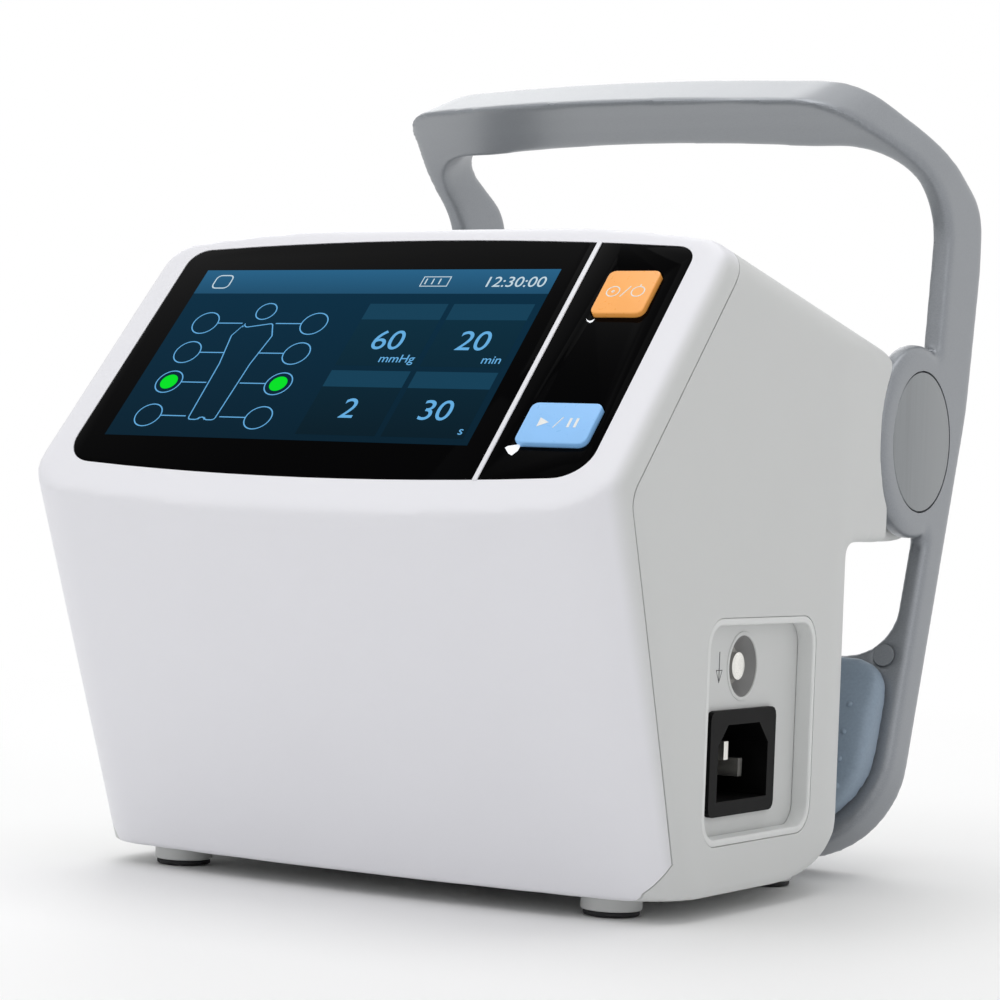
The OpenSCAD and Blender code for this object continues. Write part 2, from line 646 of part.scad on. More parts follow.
// The power supply fills the floor between the pump's cradle and the mains inlet
supply_l = 60;
supply_x = pump_at.x + cradle_w / 2 + 1.5;
supply_w = recess_x - inlet_body_d - 4 - supply_x;
supply_y = back_y - 13.2 - supply_l;
supply_up = 4;
module power_supply() color([0.62, 0.6, 0.3]) translate([supply_x, supply_y, floor_z]) {
    translate([0, 0, supply_up]) cube([supply_w, supply_l, board_t]);
    for (x = [6, supply_w - 6], y = [6, supply_l - 6]) translate([x, y, 0]) cylinder(r = 3, h = supply_up);
    translate([0, 0, supply_up + board_t]) {
        translate([6, 10, 0]) cube([20, 22, 18]);
        for (n = [0:2]) translate([supply_w - 10, 12 + 14 * n, 0]) cylinder(r = 5, h = 16);
        translate([4, 44, 0]) cube([24, 4, 16]);
    }
}

solenoid_h = 18;
module valve_block() color([0.8, 0.8, 0.76]) {
    y0 = port_ys[0] - 7;
    y1 = max(port_ys[1], pump_at.y) + 7;
    low = block_z - block_h / 2;
    translate([block_x - block_w / 2, y0, low]) cube([block_w, y1 - y0, block_h]);
    for (n = [0:2]) translate([block_x, port_ys[0] + n * port_pitch / 2, low + block_h]) {
        cylinder(r = 6, h = solenoid_h);
        cylinder(r = 2.5, h = solenoid_h + 3);
    }
    for (y = port_ys) translate([block_x, y, low - barb_len]) pipe(barb_r, barb_bore_r, 0, barb_len);
    along_right(block_x + block_w / 2, pump_at.y, pump_at.z) pipe(barb_r, barb_bore_r, 0, barb_len);
}

// A short hose between the barbs of the pump and of the valve block
module pump_hose() color([0.75, 0.78, 0.8]) along_right(0, pump_at.y, pump_at.z)
    pipe(hose_r, hose_bore_r, block_x + block_w / 2 + hose_gap, pump_at.x - head_w / 2 - hose_gap);
// A hose with one bend from each valve down to its socket
module outlet_hoses() color([0.75, 0.78, 0.8]) for (y = port_ys) {
    translate([block_x, y, 0])
        pipe(hose_r, hose_bore_r, port_z + bend_r, block_z - block_h / 2 - hose_gap);
    translate([block_x - bend_r, y, port_z + bend_r]) rotate([90, 0, 0]) rotate([0, 0, -90])
        rotate_extrude(angle = 90) translate([bend_r, 0]) difference() {
            circle(r = hose_r);
            circle(r = hose_bore_r);
        }
    along_right(0, y, port_z)
        pipe(hose_r, hose_bore_r, -half_w + port_len + hose_gap, block_x - bend_r);
}
module air_outlet(y) color([0.2, 0.2, 0.22]) along_right(-half_w, y, port_z) difference() {
    union() {
        translate([0, 0, -port_flange_t]) cylinder(r = port_r, h = port_flange_t);
        cylinder(r = port_neck_r, h = port_len);
        cylinder(r = barb_r, h = port_len + barb_len);
    }
    translate([0, 0, -port_flange_t - 1]) cylinder(r = port_bore_r, h = port_len + port_flange_t);
    cylinder(r = barb_bore_r, h = port_len + barb_len + 1);
}
module air_outlet_front() air_outlet(port_ys[0]);
module air_outlet_rear() air_outlet(port_ys[1]);

speaker_r = 12;
module speaker() color([0.15, 0.15, 0.16]) translate([half_w - wall - 11 - speaker_r, recess_y, floor_z]) {
    cylinder(r = speaker_r, h = 3);
    cylinder(r = 7, h = 8);
}

module mains_inlet() color([0.04, 0.04, 0.04]) difference() {
    union() {
        along_x(inlet_pts(inlet_w, inlet_h, 2), recess_x, recess_x + inlet_flange_t);
        along_x(inlet_pts(inlet_body_w, inlet_body_h, 1), recess_x - inlet_body_d, recess_x);
    }
    // Socket with two cut corners
    along_x(inlet_socket, recess_x - inlet_body_d + inlet_back, half_w);
    for (p = blade_places) blade(p, recess_x - inlet_body_d - 1, recess_x);
}
inlet_back = 4;
socket_w = 24;
socket_h = 16.4;
socket_cut = 4.5;
socket_low = inlet_z - socket_h / 2;
socket_high = inlet_z + socket_h / 2;
inlet_socket = [[inlet_y - socket_w / 2, socket_low], [inlet_y + socket_w / 2, socket_low],
    [inlet_y + socket_w / 2, socket_high - socket_cut], [inlet_y + socket_w / 2 - socket_cut, socket_high],
    [inlet_y - socket_w / 2 + socket_cut, socket_high], [inlet_y - socket_w / 2, socket_high - socket_cut]];
blade_places = [[-7, -2], [7, -2], [0, 2]];
blade_w = 2;
blade_l = 4;
module blade(p, from, to) along_x(box_pts([inlet_y + p.x - blade_w / 2, inlet_z + p.y - blade_l / 2],
    [inlet_y + p.x + blade_w / 2, inlet_z + p.y + blade_l / 2], 0), from, to);
module inlet_pins() color([0.85, 0.85, 0.83]) for (p = blade_places)
    blade(p, recess_x - inlet_body_d - 6, recess_x - 3);

stud_tail = 6;
module earth_stud() color([0.85, 0.83, 0.78]) along_right(recess_x - stud_dish_d, inlet_y, stud_z) {
    translate([0, 0, -stud_wall - stud_tail])
        cylinder(r = stud_r, h = stud_wall + stud_tail + stud_dish_d - stud_sunk);
    cylinder(r = stud_r + 1.4, h = 1.2);
}
nut_t = 3.5;
nut_x = recess_x - stud_dish_d - stud_wall - nut_t;
module earth_nut() color([0.8, 0.8, 0.78]) along_right(nut_x, inlet_y, stud_z) difference() {
    cylinder(r = 5.8, h = nut_t, $fn = 6);
    translate([0, 0, -1]) cylinder(r = stud_r, h = nut_t + 2);
}

module foot(p) color([0.08, 0.08, 0.09]) translate([p.x, p.y, 0]) {
    cylinder(r = foot_r, h = foot_t);
    cylinder(r = foot_stem_r, h = foot_t + foot_stem_h - slack);
}
module foot_front_left() foot(foot_places[0]);
module foot_front_right() foot(foot_places[1]);
module foot_rear_left() foot(foot_places[2]);
module foot_rear_right() foot(foot_places[3]);

// ---- handle frame: side bands cut by two tilted rings, with a hub on each side ----
arm_x = frame_half_w - arm_t;
grip_tilt = 20;
lower_tilt = 18;
// Side view of the lower half
low_front = [4.6, -28.2];
low_down = [-sin(lower_tilt), -cos(lower_tilt)];
low_back = lower_arm_d / cos(lower_tilt);
back_low = low_front + [low_back, 0] - 28 * low_down;
back_waist = back_low - 10 * low_down;
lower_band = [low_front - 30 * low_down, low_front + 90 * low_down,
    low_front + [low_back, 0] + 90 * low_down, back_low];
// Side view of the upper half, from the pivot: straight arms that bend forward into the grip
front_knee = [frame_reach - upper_arm_d, 49.3];
front_corner = front_knee + [2, 15.4];
front_foot = front_knee - [6, 49.3];
grip_edge = [-grip_forward, grip_h];
grip_rear = grip_edge + grip_d * [cos(grip_tilt), sin(grip_tilt)];
rear_slope = 29;
rear_corner = [frame_reach, grip_rear.y - (frame_reach - grip_rear.x) * tan(rear_slope)];
function bezier(a, m, b, n) = [for (k = [0:n]) let (t = k / n)
    pow(1 - t, 2) * a + 2 * t * (1 - t) * m + t * t * b];
upper_band = concat([[front_foot.x, front_foot.y, 0]], bezier(front_knee, front_corner, grip_edge, 12),
    [[grip_rear.x, grip_rear.y, 2], [rear_corner.x, rear_corner.y, 12], [frame_reach, 44, 60],
     [back_waist.x, back_waist.y, 60], back_low, [front_foot.x, -6, 0]]);
// Heights along the tilted rings, from the pivot
grip_half_w = frame_half_w - grip_run_in;
grip_top = grip_h * cos(grip_tilt) + grip_forward * sin(grip_tilt);
grip_bow = 2.8;
plate_y = low_front.x - (pivot_h + low_front.y - plate_top) * tan(lower_tilt);
plate_up = (plate_top - pivot_h) * cos(lower_tilt) + plate_y * sin(lower_tilt);
plate_down = (plate_low - pivot_h) * cos(lower_tilt)
    + (low_front.x + low_back - (pivot_h + low_front.y - plate_low) * tan(lower_tilt)) * sin(lower_tilt);
function arch(half, top, bow) = [for (n = [-5:5]) let (x = -half * n / 5)
    [x, top - bow * pow(x / half, 2), 0]];
grip_corner = [grip_half_w - 5.6, grip_top - grip_bow + 0.6];
grip_shoulder = grip_top - 25;
upper_outer = concat([[-frame_half_w, -12, 0], [frame_half_w, -12, 0], [frame_half_w, grip_shoulder, 30],
    [grip_corner.x, grip_corner.y, 16]], arch(grip_corner.x - 12.4, grip_top, grip_bow * 0.55),
    [[-grip_corner.x, grip_corner.y, 16], [-frame_half_w, grip_shoulder, 30]]);
upper_inner = concat([[-arm_x, -40, 0], [arm_x, -40, 0], [arm_x, grip_top - grip_t - grip_bow, 14]],
    arch(arm_x - 21.5, grip_top - grip_t, grip_bow * 0.85), [[-arm_x, grip_top - grip_t - grip_bow, 14]]);
lower_outer = [[-frame_half_w, plate_down, plate_corner_r], [frame_half_w, plate_down, plate_corner_r],
    [frame_half_w, 30, 0], [-frame_half_w, 30, 0]];
lower_inner = [[-arm_x, plate_up, 12], [arm_x, plate_up, 12], [arm_x, 60, 0], [-arm_x, 60, 0]];

module frame_half(band, tilt, outer, inner) translate([0, pivot_y, pivot_h]) intersection() {
    along_x(band, -frame_half_w, frame_half_w);
    rotate([tilt, 0, 0]) difference() {
        along_y(outer, -far, far);
        along_y(inner, -far, far);
    }
}
cap_seat_r = cap_r + 0.35;
pin_head_r = pin_r + 3.5;
pin_head_t = 1.6;
plug_r = 2.7;
plug_t = 2;
// The plate's own plane: X across, Z up the plate and Y out of its back, from the pivot
module on_plate() translate([0, pivot_y, pivot_h]) rotate([-lower_tilt, 0, 0]) children();
plate_front = low_front.x * cos(lower_tilt) - low_front.y * sin(lower_tilt);
module handle_frame() color([0.72, 0.74, 0.77]) difference() {
    union() {
        frame_half(upper_band, grip_tilt, upper_outer, upper_inner);
        frame_half(lower_band, -lower_tilt, lower_outer, lower_inner);
        for (side = [-1, 1]) at_pivot(side) translate([0, 0, arm_x]) {
            cylinder(r = hub_r, h = arm_t - hub_edge_r);
            cylinder(r = hub_r - hub_edge_r, h = arm_t);
            translate([0, 0, arm_t - hub_edge_r]) rotate_extrude() translate([hub_r - hub_edge_r, 0])
                intersection() {
                    circle(r = hub_edge_r);
                    square(hub_edge_r);
                }
        }
    }
    for (side = [-1, 1]) at_pivot(side) {
        translate([0, 0, arm_x - 1]) cylinder(r = pin_r, h = arm_t + 2);
        translate([0, 0, frame_half_w - cap_t - pin_head_t]) cylinder(r = pin_head_r + slack, h = 10);
        translate([0, 0, frame_half_w - cap_t]) cylinder(r = cap_seat_r, h = 10);
    }
    for (p = plug_places) on_plate() translate([p.x, plate_front - 1, p.y]) rotate([-90, 0, 0])
        cylinder(r = plug_r, h = plug_t + 1);
}
plug_x = frame_half_w - 6.5;
plug_places = [[-plug_x, plate_up + 0.3], [plug_x, plate_up + 0.3]];
module frame_plugs() color([0.7, 0.72, 0.75]) for (p = plug_places)
    on_plate() translate([p.x, plate_front, p.y]) rotate([-90, 0, 0]) cylinder(r = plug_r, h = plug_t);

// The pad is crowned towards the housing
pad_low = plate_down + pad_margin + 1;
pad_high = plate_up - 1.6;
pad_crown = 5;
pad_crown_r = (pow((pad_high - pad_low) / 2, 2) + pow(pad_crown, 2)) / (2 * pad_crown);
pad_half_w = frame_half_w - pad_margin;
module clamp_pad() color([0.5, 0.56, 0.62]) on_plate() intersection() {
    along_y([[-pad_half_w, pad_low, 22], [pad_half_w, pad_low, 22], [pad_half_w, pad_high, 9],
        [-pad_half_w, pad_high, 9]], plate_front - pad_t, plate_front);
    along_right(-frame_half_w, plate_front - pad_t + pad_crown_r, (pad_low + pad_high) / 2)
        cylinder(r = pad_crown_r, h = 2 * frame_half_w, $fn = 128);
}

module hub_cap(side) color([0.6, 0.62, 0.64]) at_pivot(side) translate([0, 0, frame_half_w - cap_t])
    cylinder(r = cap_r, h = cap_t);
module hub_cap_left() hub_cap(-1);
module hub_cap_right() hub_cap(1);

pin_inner = barrel_half_w - boss_len - 6;
module pivot_pin(side) color([0.75, 0.75, 0.76]) at_pivot(side) {
    translate([0, 0, pin_inner]) cylinder(r = pin_r, h = frame_half_w - cap_t - pin_inner - 0.2);
    translate([0, 0, frame_half_w - cap_t - pin_head_t]) cylinder(r = pin_head_r, h = pin_head_t - 0.2);
}
module pivot_pin_left() pivot_pin(-1);
module pivot_pin_right() pivot_pin(1);
module pivot_bush(side) color([0.72, 0.6, 0.35]) at_pivot(side)
    pipe(bush_r, pin_r + pin_clear, barrel_half_w - boss_len, barrel_half_w);
module pivot_bush_left() pivot_bush(-1);
module pivot_bush_right() pivot_bush(1);
collar_t = 4;
module pivot_collar(side) color([0.6, 0.6, 0.62]) at_pivot(side)
    pipe(boss_r, pin_r, barrel_half_w - boss_len - collar_t - 0.5, barrel_half_w - boss_len - 0.5);
module pivot_collar_left() pivot_collar(-1);
module pivot_collar_right() pivot_collar(1);

// Torsion spring round the boss, as one tube swept along a helix
spring_r = boss_r + wire_r + 0.5;
spring_pitch = 2 * wire_r + 0.6;
spring_sides = 8;
spring_steps = 24;
spring_in = barrel_half_w - boss_len + 2;
module pivot_spring(side) color([0.55, 0.55, 0.57]) at_pivot(side) translate([0, 0, spring_in]) {
    count = spring_turns * spring_steps;
    points = [for (k = [0:count], s = [0:spring_sides - 1])
        let (a = 360 * k / spring_steps, b = 360 * s / spring_sides, r = spring_r + wire_r * cos(b))
        [r * cos(a), r * sin(a), wire_r + wire_r * sin(b) + spring_pitch * k / spring_steps]];
    faces = concat([[for (s = [0:spring_sides - 1]) s]],
        [for (k = [0:count - 1], s = [0:spring_sides - 1])
            let (i = k * spring_sides, next = i + spring_sides, j = (s + 1) % spring_sides)
            each [[i + s, next + j, i + j], [i + s, next + s, next + j]]],
        [[for (s = [spring_sides - 1:-1:0]) count * spring_sides + s]]);
    polyhedron(points, faces);
}
module pivot_spring_left() pivot_spring(-1);
module pivot_spring_right() pivot_spring(1);

front_shell();
rear_shell();
housing_screws();
display_glass();
key_plate();
display_module();
display_bracket();
power_button();
start_button();
key_board();
power_light();
run_light();
main_board();
power_supply();
battery_pack();
air_pump();
pump_cradle();
valve_block();
pump_hose();
outlet_hoses();
air_outlet_front();
air_outlet_rear();
speaker();
mains_inlet();
inlet_pins();
earth_stud();
earth_nut();
foot_front_left();
foot_front_right();
foot_rear_left();
foot_rear_right();
handle_frame();
clamp_pad();
frame_plugs();
hub_cap_left();
hub_cap_right();
pivot_pin_left();
pivot_pin_right();
pivot_bush_left();
pivot_bush_right();
pivot_collar_left();
pivot_collar_right();
pivot_spring_left();
pivot_spring_right();
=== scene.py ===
"""Dresses the compression therapy pump: shells, screen, keys, handle frame, finishes, light and camera."""

import json
import math

import bpy
from mathutils import Matrix, Vector


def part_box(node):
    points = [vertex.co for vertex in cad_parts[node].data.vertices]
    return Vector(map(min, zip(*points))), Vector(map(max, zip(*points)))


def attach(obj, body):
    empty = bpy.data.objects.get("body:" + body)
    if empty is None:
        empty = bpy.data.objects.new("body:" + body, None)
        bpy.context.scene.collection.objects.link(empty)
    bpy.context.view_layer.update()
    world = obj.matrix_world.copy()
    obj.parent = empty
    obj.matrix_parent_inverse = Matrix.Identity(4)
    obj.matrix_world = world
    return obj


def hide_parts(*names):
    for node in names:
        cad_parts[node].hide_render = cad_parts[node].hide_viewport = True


bl_info = {
    "name": "Compression Therapy Pump",
    "version": (1, 0, 0),
    "blender": (4, 5, 0),
    "location": "View3D > Sidebar > Pump",
    "description": "Models the pump's visible pieces around its packed frame",
    "category": "Object",
}

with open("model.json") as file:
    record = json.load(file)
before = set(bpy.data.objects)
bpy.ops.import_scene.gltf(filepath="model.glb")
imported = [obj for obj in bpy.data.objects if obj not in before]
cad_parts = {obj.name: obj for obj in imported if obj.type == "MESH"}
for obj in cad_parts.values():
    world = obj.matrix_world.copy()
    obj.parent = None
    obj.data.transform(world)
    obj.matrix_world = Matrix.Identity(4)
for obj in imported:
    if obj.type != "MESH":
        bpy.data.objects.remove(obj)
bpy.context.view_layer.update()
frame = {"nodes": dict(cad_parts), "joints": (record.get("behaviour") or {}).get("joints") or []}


def at(x, y, z):
    return Matrix.Translation((x, y, z))


MM = 0.001
FAR = 400

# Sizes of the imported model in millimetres, and those of the details in front of it
LIP_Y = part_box("front_shell")[0][1] / MM
HALF_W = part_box("rear_shell")[1][0] / MM
FRAME_HALF_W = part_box("handle_frame")[1][0] / MM
PIVOT = Vector(next(j["pos_m"] for j in frame["joints"] if j["name"] == "handle_hinge")) / MM
LIP_H = 82.6
BODY_D = 137.2
PANEL_TILT = 47.65
PANEL_LEN = 89
FRONT_LEAN = 21.7
FRONT_BOW = 4.4
FRONT_CORNER_R = 15
REAR_CORNER_R = 27
REAR_BASE_R = 12
CREASE_H = 11.6
BASE_H = 4.5
CHIN_IN = 1.6
CROWN = 6
SHOULDER_R = 10
RIM_R = 4
TOP_SLOPE = 11.5
BARREL_R = 24.6
EAR_START = 50
EAR_END = 19
WALL = 2.5
ARM_T = 5.2
HUB_R = 23.6
HUB_GAP = 1
SLACK = 0.2
LEDGE = 2.2
GLASS_HALF_W = 66.6
GLASS_LOW = 10.1
GLASS_LEN = 73.6
GLASS_BOW = 2.9
GLASS_T = 1.8
DIVIDER_X = 41.9
DIVIDER_W = 1.0
RECESS_D = 4
RECESS_LOW = 16.7
RECESS_H = 45.4
RECESS_W = 50
RECESS_FRONT = 50.7
INLET_Z = 32.2
STUD_Z = 52.8
FOOT_BOSS_R = 6.6
FOOT_T = 1.1
STUD_DISH_R = 7
STUD_DISH_D = 4.2
STUD_R = 3.2
INLET_HALF = (13.7, 10)
AIR_HOLE_R = 6.5
SLOT_PITCH = 6
SLOT_W = 2.5
SCREW_X = 30
SCREW_BACK = 45.8
SCREW_HOLE_R = 3.2
CAP_R = 16.9
CAP_T = 1.3
CAP_SEAT_R = 17.25
PIVOT_RECESS_R = 8.7
PIVOT_BORE_R = 5
LINE_SQUEEZE = 0.25
DOT_PITCH_X = 0.00906
DOT_PITCH_Z = 0.0064
DOT_LOW = 0.0154
DOT_SUNK = 0.35
CREASE_Y = LIP_Y + (LIP_H - CREASE_H) * math.tan(math.radians(FRONT_LEAN))
BACK_Y = LIP_Y + BODY_D
UNDER_Z = PIVOT.z - BARREL_R
BARREL_TOP = PIVOT.z + BARREL_R
BARREL_HALF_W = FRAME_HALF_W - ARM_T - 1
TILT = math.radians(PANEL_TILT)
PANEL_TOP = (LIP_Y + PANEL_LEN * math.cos(TILT), LIP_H + PANEL_LEN * math.sin(TILT))
ON_PANEL = at(0, LIP_Y, LIP_H) @ Matrix.Rotation(TILT, 4, "X")
ALONG_X = Matrix(((0, 0, 1, 0), (1, 0, 0, 0), (0, 1, 0, 0), (0, 0, 0, 1)))
ALONG_Y = Matrix(((1, 0, 0, 0), (0, 0, 1, 0), (0, 1, 0, 0), (0, 0, 0, 1)))
ALONG_Z = Matrix.Identity(4)
INLET_Y = LIP_Y + RECESS_FRONT + RECESS_W / 2 - 2
RECESS_X = HALF_W - RECESS_D
STUD_PLACE = at(0, INLET_Y, STUD_Z) @ ALONG_X
LCD = (-59.2, 20.7, 35.8, 74.1)
KEYS = {"power_button": (55.2, 66.1, 12.6, 13.2), "start_button": (55.2, 27.1, 16.8, 11.6)}
FEET = ("foot_front_left", "foot_front_right", "foot_rear_left", "foot_rear_right")
AIR_SOCKETS = ("air_outlet_front", "air_outlet_rear")
PANEL_BLACK = (0.0008, 0.0008, 0.001, 1)


# ---- outlines: lists of (across, up, corner radius), anticlockwise ----
def flat(point):
    return Vector(point[:2])


def inset(points, amount):
    """The outline moved inwards, with its corner radii kept parallel."""
    moved = []
    for k, point in enumerate(points):
        before, here, after = flat(points[k - 1]), flat(point), flat(points[(k + 1) % len(points)])
        u, v = (here - before).normalized(), (after - here).normalized()
        turn = u.cross(v)
        left_u, left_v = Vector((-u.y, u.x)), Vector((-v.y, v.x))
        if abs(turn) < 0.001:
            corner = here + amount * left_u
        else:
            corner = here + amount * left_u + u * (amount * (left_v - left_u)).cross(v) / turn
        radius = point[2] if len(point) > 2 else 0
        if radius:
            radius = max(0, radius - amount if turn > 0 else radius + amount)
        moved.append((corner.x, corner.y, radius))
    return moved


def rounded(points):
    """The outline with an arc at each corner that has a radius."""
    line = []
    for k, point in enumerate(points):
        here = flat(point)
        u = (flat(points[k - 1]) - here).normalized()
        v = (flat(points[(k + 1) % len(points)]) - here).normalized()
        radius = point[2] if len(point) > 2 else 0
        half = math.acos(max(-1, min(1, u.dot(v)))) / 2
        if radius == 0 or half > 1.56:
            line.append(here)
            continue
        centre = here + (u + v).normalized() * radius / math.sin(half)
        start = here + u * radius / math.tan(half) - centre
        end = here + v * radius / math.tan(half) - centre
        sweep = math.copysign(math.pi - 2 * half, start.cross(end))
        steps = max(3, math.ceil(math.degrees(abs(sweep)) * math.sqrt(radius) / 30))
        for n in range(steps + 1):
            angle = sweep * n / steps
            line.append(centre + Matrix.Rotation(angle, 2) @ start)
    return line


def bowed(count, reach, middle_y, bow, half_w):
    """Points on a shallow bow, from left to right; bow is its rise at half_w."""
    across = [reach * (2 * n / count - 1) for n in range(1, count)]
    return [(x, middle_y + bow * (x / half_w) ** 2, 0) for x in across]


def rectangle(x0, y0, x1, y1, radius=0):
    return [(x0, y0, radius), (x1, y0, radius), (x1, y1, radius), (x0, y1, radius)]


def top_z(y):
    """Height of the top, which sweeps down from the panel and is level over the barrel."""
    run, fall = PIVOT.y - PANEL_TOP[0], PANEL_TOP[1] - BARREL_TOP
    sweep_r = (run**2 + fall**2) / (2 * fall)
    return BARREL_TOP + sweep_r - math.sqrt(sweep_r**2 - (PIVOT.y - y) ** 2)


def side_outline():
    barrel_round = BARREL_R - 0.5
    points = [(LIP_Y, LIP_H, 3), (CREASE_Y, CREASE_H, 0), (CREASE_Y + CHIN_IN, BASE_H, 2)]
    points += [(BACK_Y, BASE_H, REAR_BASE_R), (BACK_Y, UNDER_Z, 5)]
    points += [(PIVOT.y + BARREL_R, z, barrel_round) for z in (UNDER_Z, BARREL_TOP)]
    for n in range(1, 24):
        y = PIVOT.y - (PIVOT.y - PANEL_TOP[0]) * n / 24
        points.append((y, top_z(y), 0))
    return points + [(PANEL_TOP[0], PANEL_TOP[1], 5)]


def front_outline():
    lean = math.radians(FRONT_LEAN)
    depth = LIP_Y * math.cos(lean) + LIP_H * math.sin(lean)
    side = depth + FRONT_BOW
    left = [(-HALF_W, side + FAR, 0), (-HALF_W, side, FRONT_CORNER_R)]
    right = [(HALF_W, side, FRONT_CORNER_R), (HALF_W, side + FAR, 0)]
    return left + bowed(20, HALF_W - FRONT_CORNER_R, depth, FRONT_BOW, HALF_W) + right


def crown_outline():
    slope = math.radians(TOP_SLOPE)
    height = PANEL_TOP[1] * math.cos(slope) + PANEL_TOP[0] * math.sin(slope) + 0.5
    low = [(-HALF_W, -FAR, 0), (HALF_W, -FAR, 0), (HALF_W, height - CROWN, SHOULDER_R)]
    top = bowed(16, HALF_W * 0.84, height, -CROWN, HALF_W)
    return low + top[::-1] + [(-HALF_W, height - CROWN, SHOULDER_R)]


def upper_plan():
    ear_w, start, end = FRAME_HALF_W + 0.3, PIVOT.y - EAR_START, PIVOT.y - EAR_END
    right = [(HALF_W, LIP_Y - FAR, 0), (HALF_W, start, 0), (ear_w, end, 0), (ear_w, PIVOT.y + FAR, 0)]
    return right + [(-x, y, r) for x, y, r in reversed(right)]


def lower_plan():
    corners = [(HALF_W, BACK_Y, REAR_CORNER_R), (-HALF_W, BACK_Y, REAR_CORNER_R)]
    return [(-HALF_W, LIP_Y - FAR, 0), (HALF_W, LIP_Y - FAR, 0)] + corners


def glass_outline():
    half, reach, high = GLASS_HALF_W, GLASS_HALF_W * 0.86, GLASS_LOW + GLASS_LEN
    low = bowed(12, reach, GLASS_LOW, GLASS_BOW, half)
    top = bowed(12, reach, high, -GLASS_BOW, half)[::-1]
    low = [(-half, GLASS_LOW + GLASS_BOW, 8)] + low + [(half, GLASS_LOW + GLASS_BOW, 8)]
    return low + [(half, high - GLASS_BOW, 5)] + top + [(-half, high - GLASS_BOW, 5)]


def seam_outline(gap):
    """The front shell's side of the split, seen from the right; gap moves the split towards the front."""
    cos, sin = math.cos(TILT), math.sin(TILT)
    crease = (LIP_Y + 39.8 - gap, CREASE_H + 1)
    lip = (LIP_Y + 13.4 - gap, LIP_H + 6.4 + gap / 2)
    under_y, far_y = crease[0] - 3.4, LIP_Y - FAR / 4
    points = [(far_y, BASE_H - 20, 0), (under_y, BASE_H - 20, 0), (under_y, BASE_H + 2, 0)]
    points += [(*crease, 0), (*lip, 6), (lip[0] + 120 * cos, lip[1] + 120 * sin, 0)]
    return points + [(far_y, lip[1] + 120 * sin, 0)]


# ---- modelling by operators ----
def only(*objects):
    """Selects these objects alone and makes the first one active."""
    if bpy.context.object and bpy.context.object.mode != "OBJECT":
        bpy.ops.object.mode_set(mode="OBJECT")
    bpy.ops.object.select_all(action="DESELECT")
    for item in objects:
        item.select_set(True)
    bpy.context.view_layer.objects.active = objects[0]


def named(name):
    piece = bpy.context.object
    piece.name = piece.data.name = name
    return piece


def settle(piece, matrix=None):
    """Puts the object's place into its mesh, and leaves the object at the origin."""
    if matrix is not None:
        piece.matrix_world = matrix @ piece.matrix_world
    only(piece)
    bpy.ops.object.transform_apply(location=True, rotation=True, scale=True)
    return piece


def edit_mesh(operator, **settings):
    """Runs a mesh operator on the whole of the active mesh."""
    bpy.ops.object.mode_set(mode="EDIT")
    bpy.ops.mesh.select_all(action="SELECT")
    operator(**settings)
    bpy.ops.object.mode_set(mode="OBJECT")


def metres(matrix):
    """The matrix with its place turned from millimetres into metres."""
    place = matrix.copy()
    place.translation = matrix.translation * MM
    return place


def prism(name, outline, matrix, low, high):
    """A face in the outline's shape, extruded; across and up are millimetres in the matrix's plane."""
    line = rounded(outline)
    bpy.ops.mesh.primitive_circle_add(vertices=len(line), fill_type="NGON")
    piece = named(name)
    for vertex, point in zip(piece.data.vertices, line):
        vertex.co = (point.x * MM, point.y * MM, low * MM)
    move = {"value": (0, 0, (high - low) * MM), "orient_type": "GLOBAL"}
    edit_mesh(bpy.ops.mesh.extrude_region_move, TRANSFORM_OT_translate=move)
    settle(piece, metres(matrix))
    edit_mesh(bpy.ops.mesh.normals_make_consistent, inside=False)
    return piece


def cylinder(name, radius, low, high, matrix, sides=96):
    bpy.ops.mesh.primitive_cylinder_add(vertices=sides, radius=radius * MM, depth=(high - low) * MM)
    return settle(named(name), metres(matrix @ at(0, 0, (low + high) / 2)))


def middle(node):
    """The middle of a CAD node's box, in millimetres."""
    return [(low + high) / 2 / MM for low, high in zip(*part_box(node))]


def at_right(x, y, z):
    """A plane whose up axis is +X, at a point in millimetres."""
    return at(x, y, z) @ ALONG_X


def at_pivot(side):
    """The plane at the pivot whose up axis points out of the right or the left side."""
    place = at(0, PIVOT.y, PIVOT.z)
    return place @ ALONG_X if side > 0 else place @ Matrix.Rotation(math.pi, 4, "Z") @ ALONG_X


def side_slab(name, outline, side, low, high):
    """A prism across the right side or, mirrored, across the left one."""
    low, high = (low, high) if side > 0 else (-high, -low)
    return prism(name, outline, ALONG_X, low, high)


def modifier(piece, kind, **settings):
    only(piece)
    added = piece.modifiers.new(kind.lower(), kind)
    for key, value in settings.items():
        setattr(added, key, value)
    bpy.ops.object.modifier_apply(modifier=added.name)
    return piece


def combine(piece, other, operation="DIFFERENCE"):
    """Cuts the other object out of the piece, or joins or meets it, and removes it."""
    modifier(piece, "BOOLEAN", object=other, operation=operation, solver="MANIFOLD")
    bpy.data.objects.remove(other)
    return piece


def copy_of(item, name):
    only(item)
    bpy.ops.object.duplicate()
    return named(name)


def joined(name, pieces):
    only(*pieces)
    if len(pieces) > 1:
        bpy.ops.object.join()
    return named(name)


def cad_copy(node, name):
    """A copy of a CAD node's mesh with its loose triangles merged."""
    piece = copy_of(frame["nodes"][node], name)
    piece.parent = None
    piece.hide_render = False
    piece.data.materials.clear()
    only(piece)
    edit_mesh(bpy.ops.mesh.remove_doubles, threshold=0.00001)
    return piece


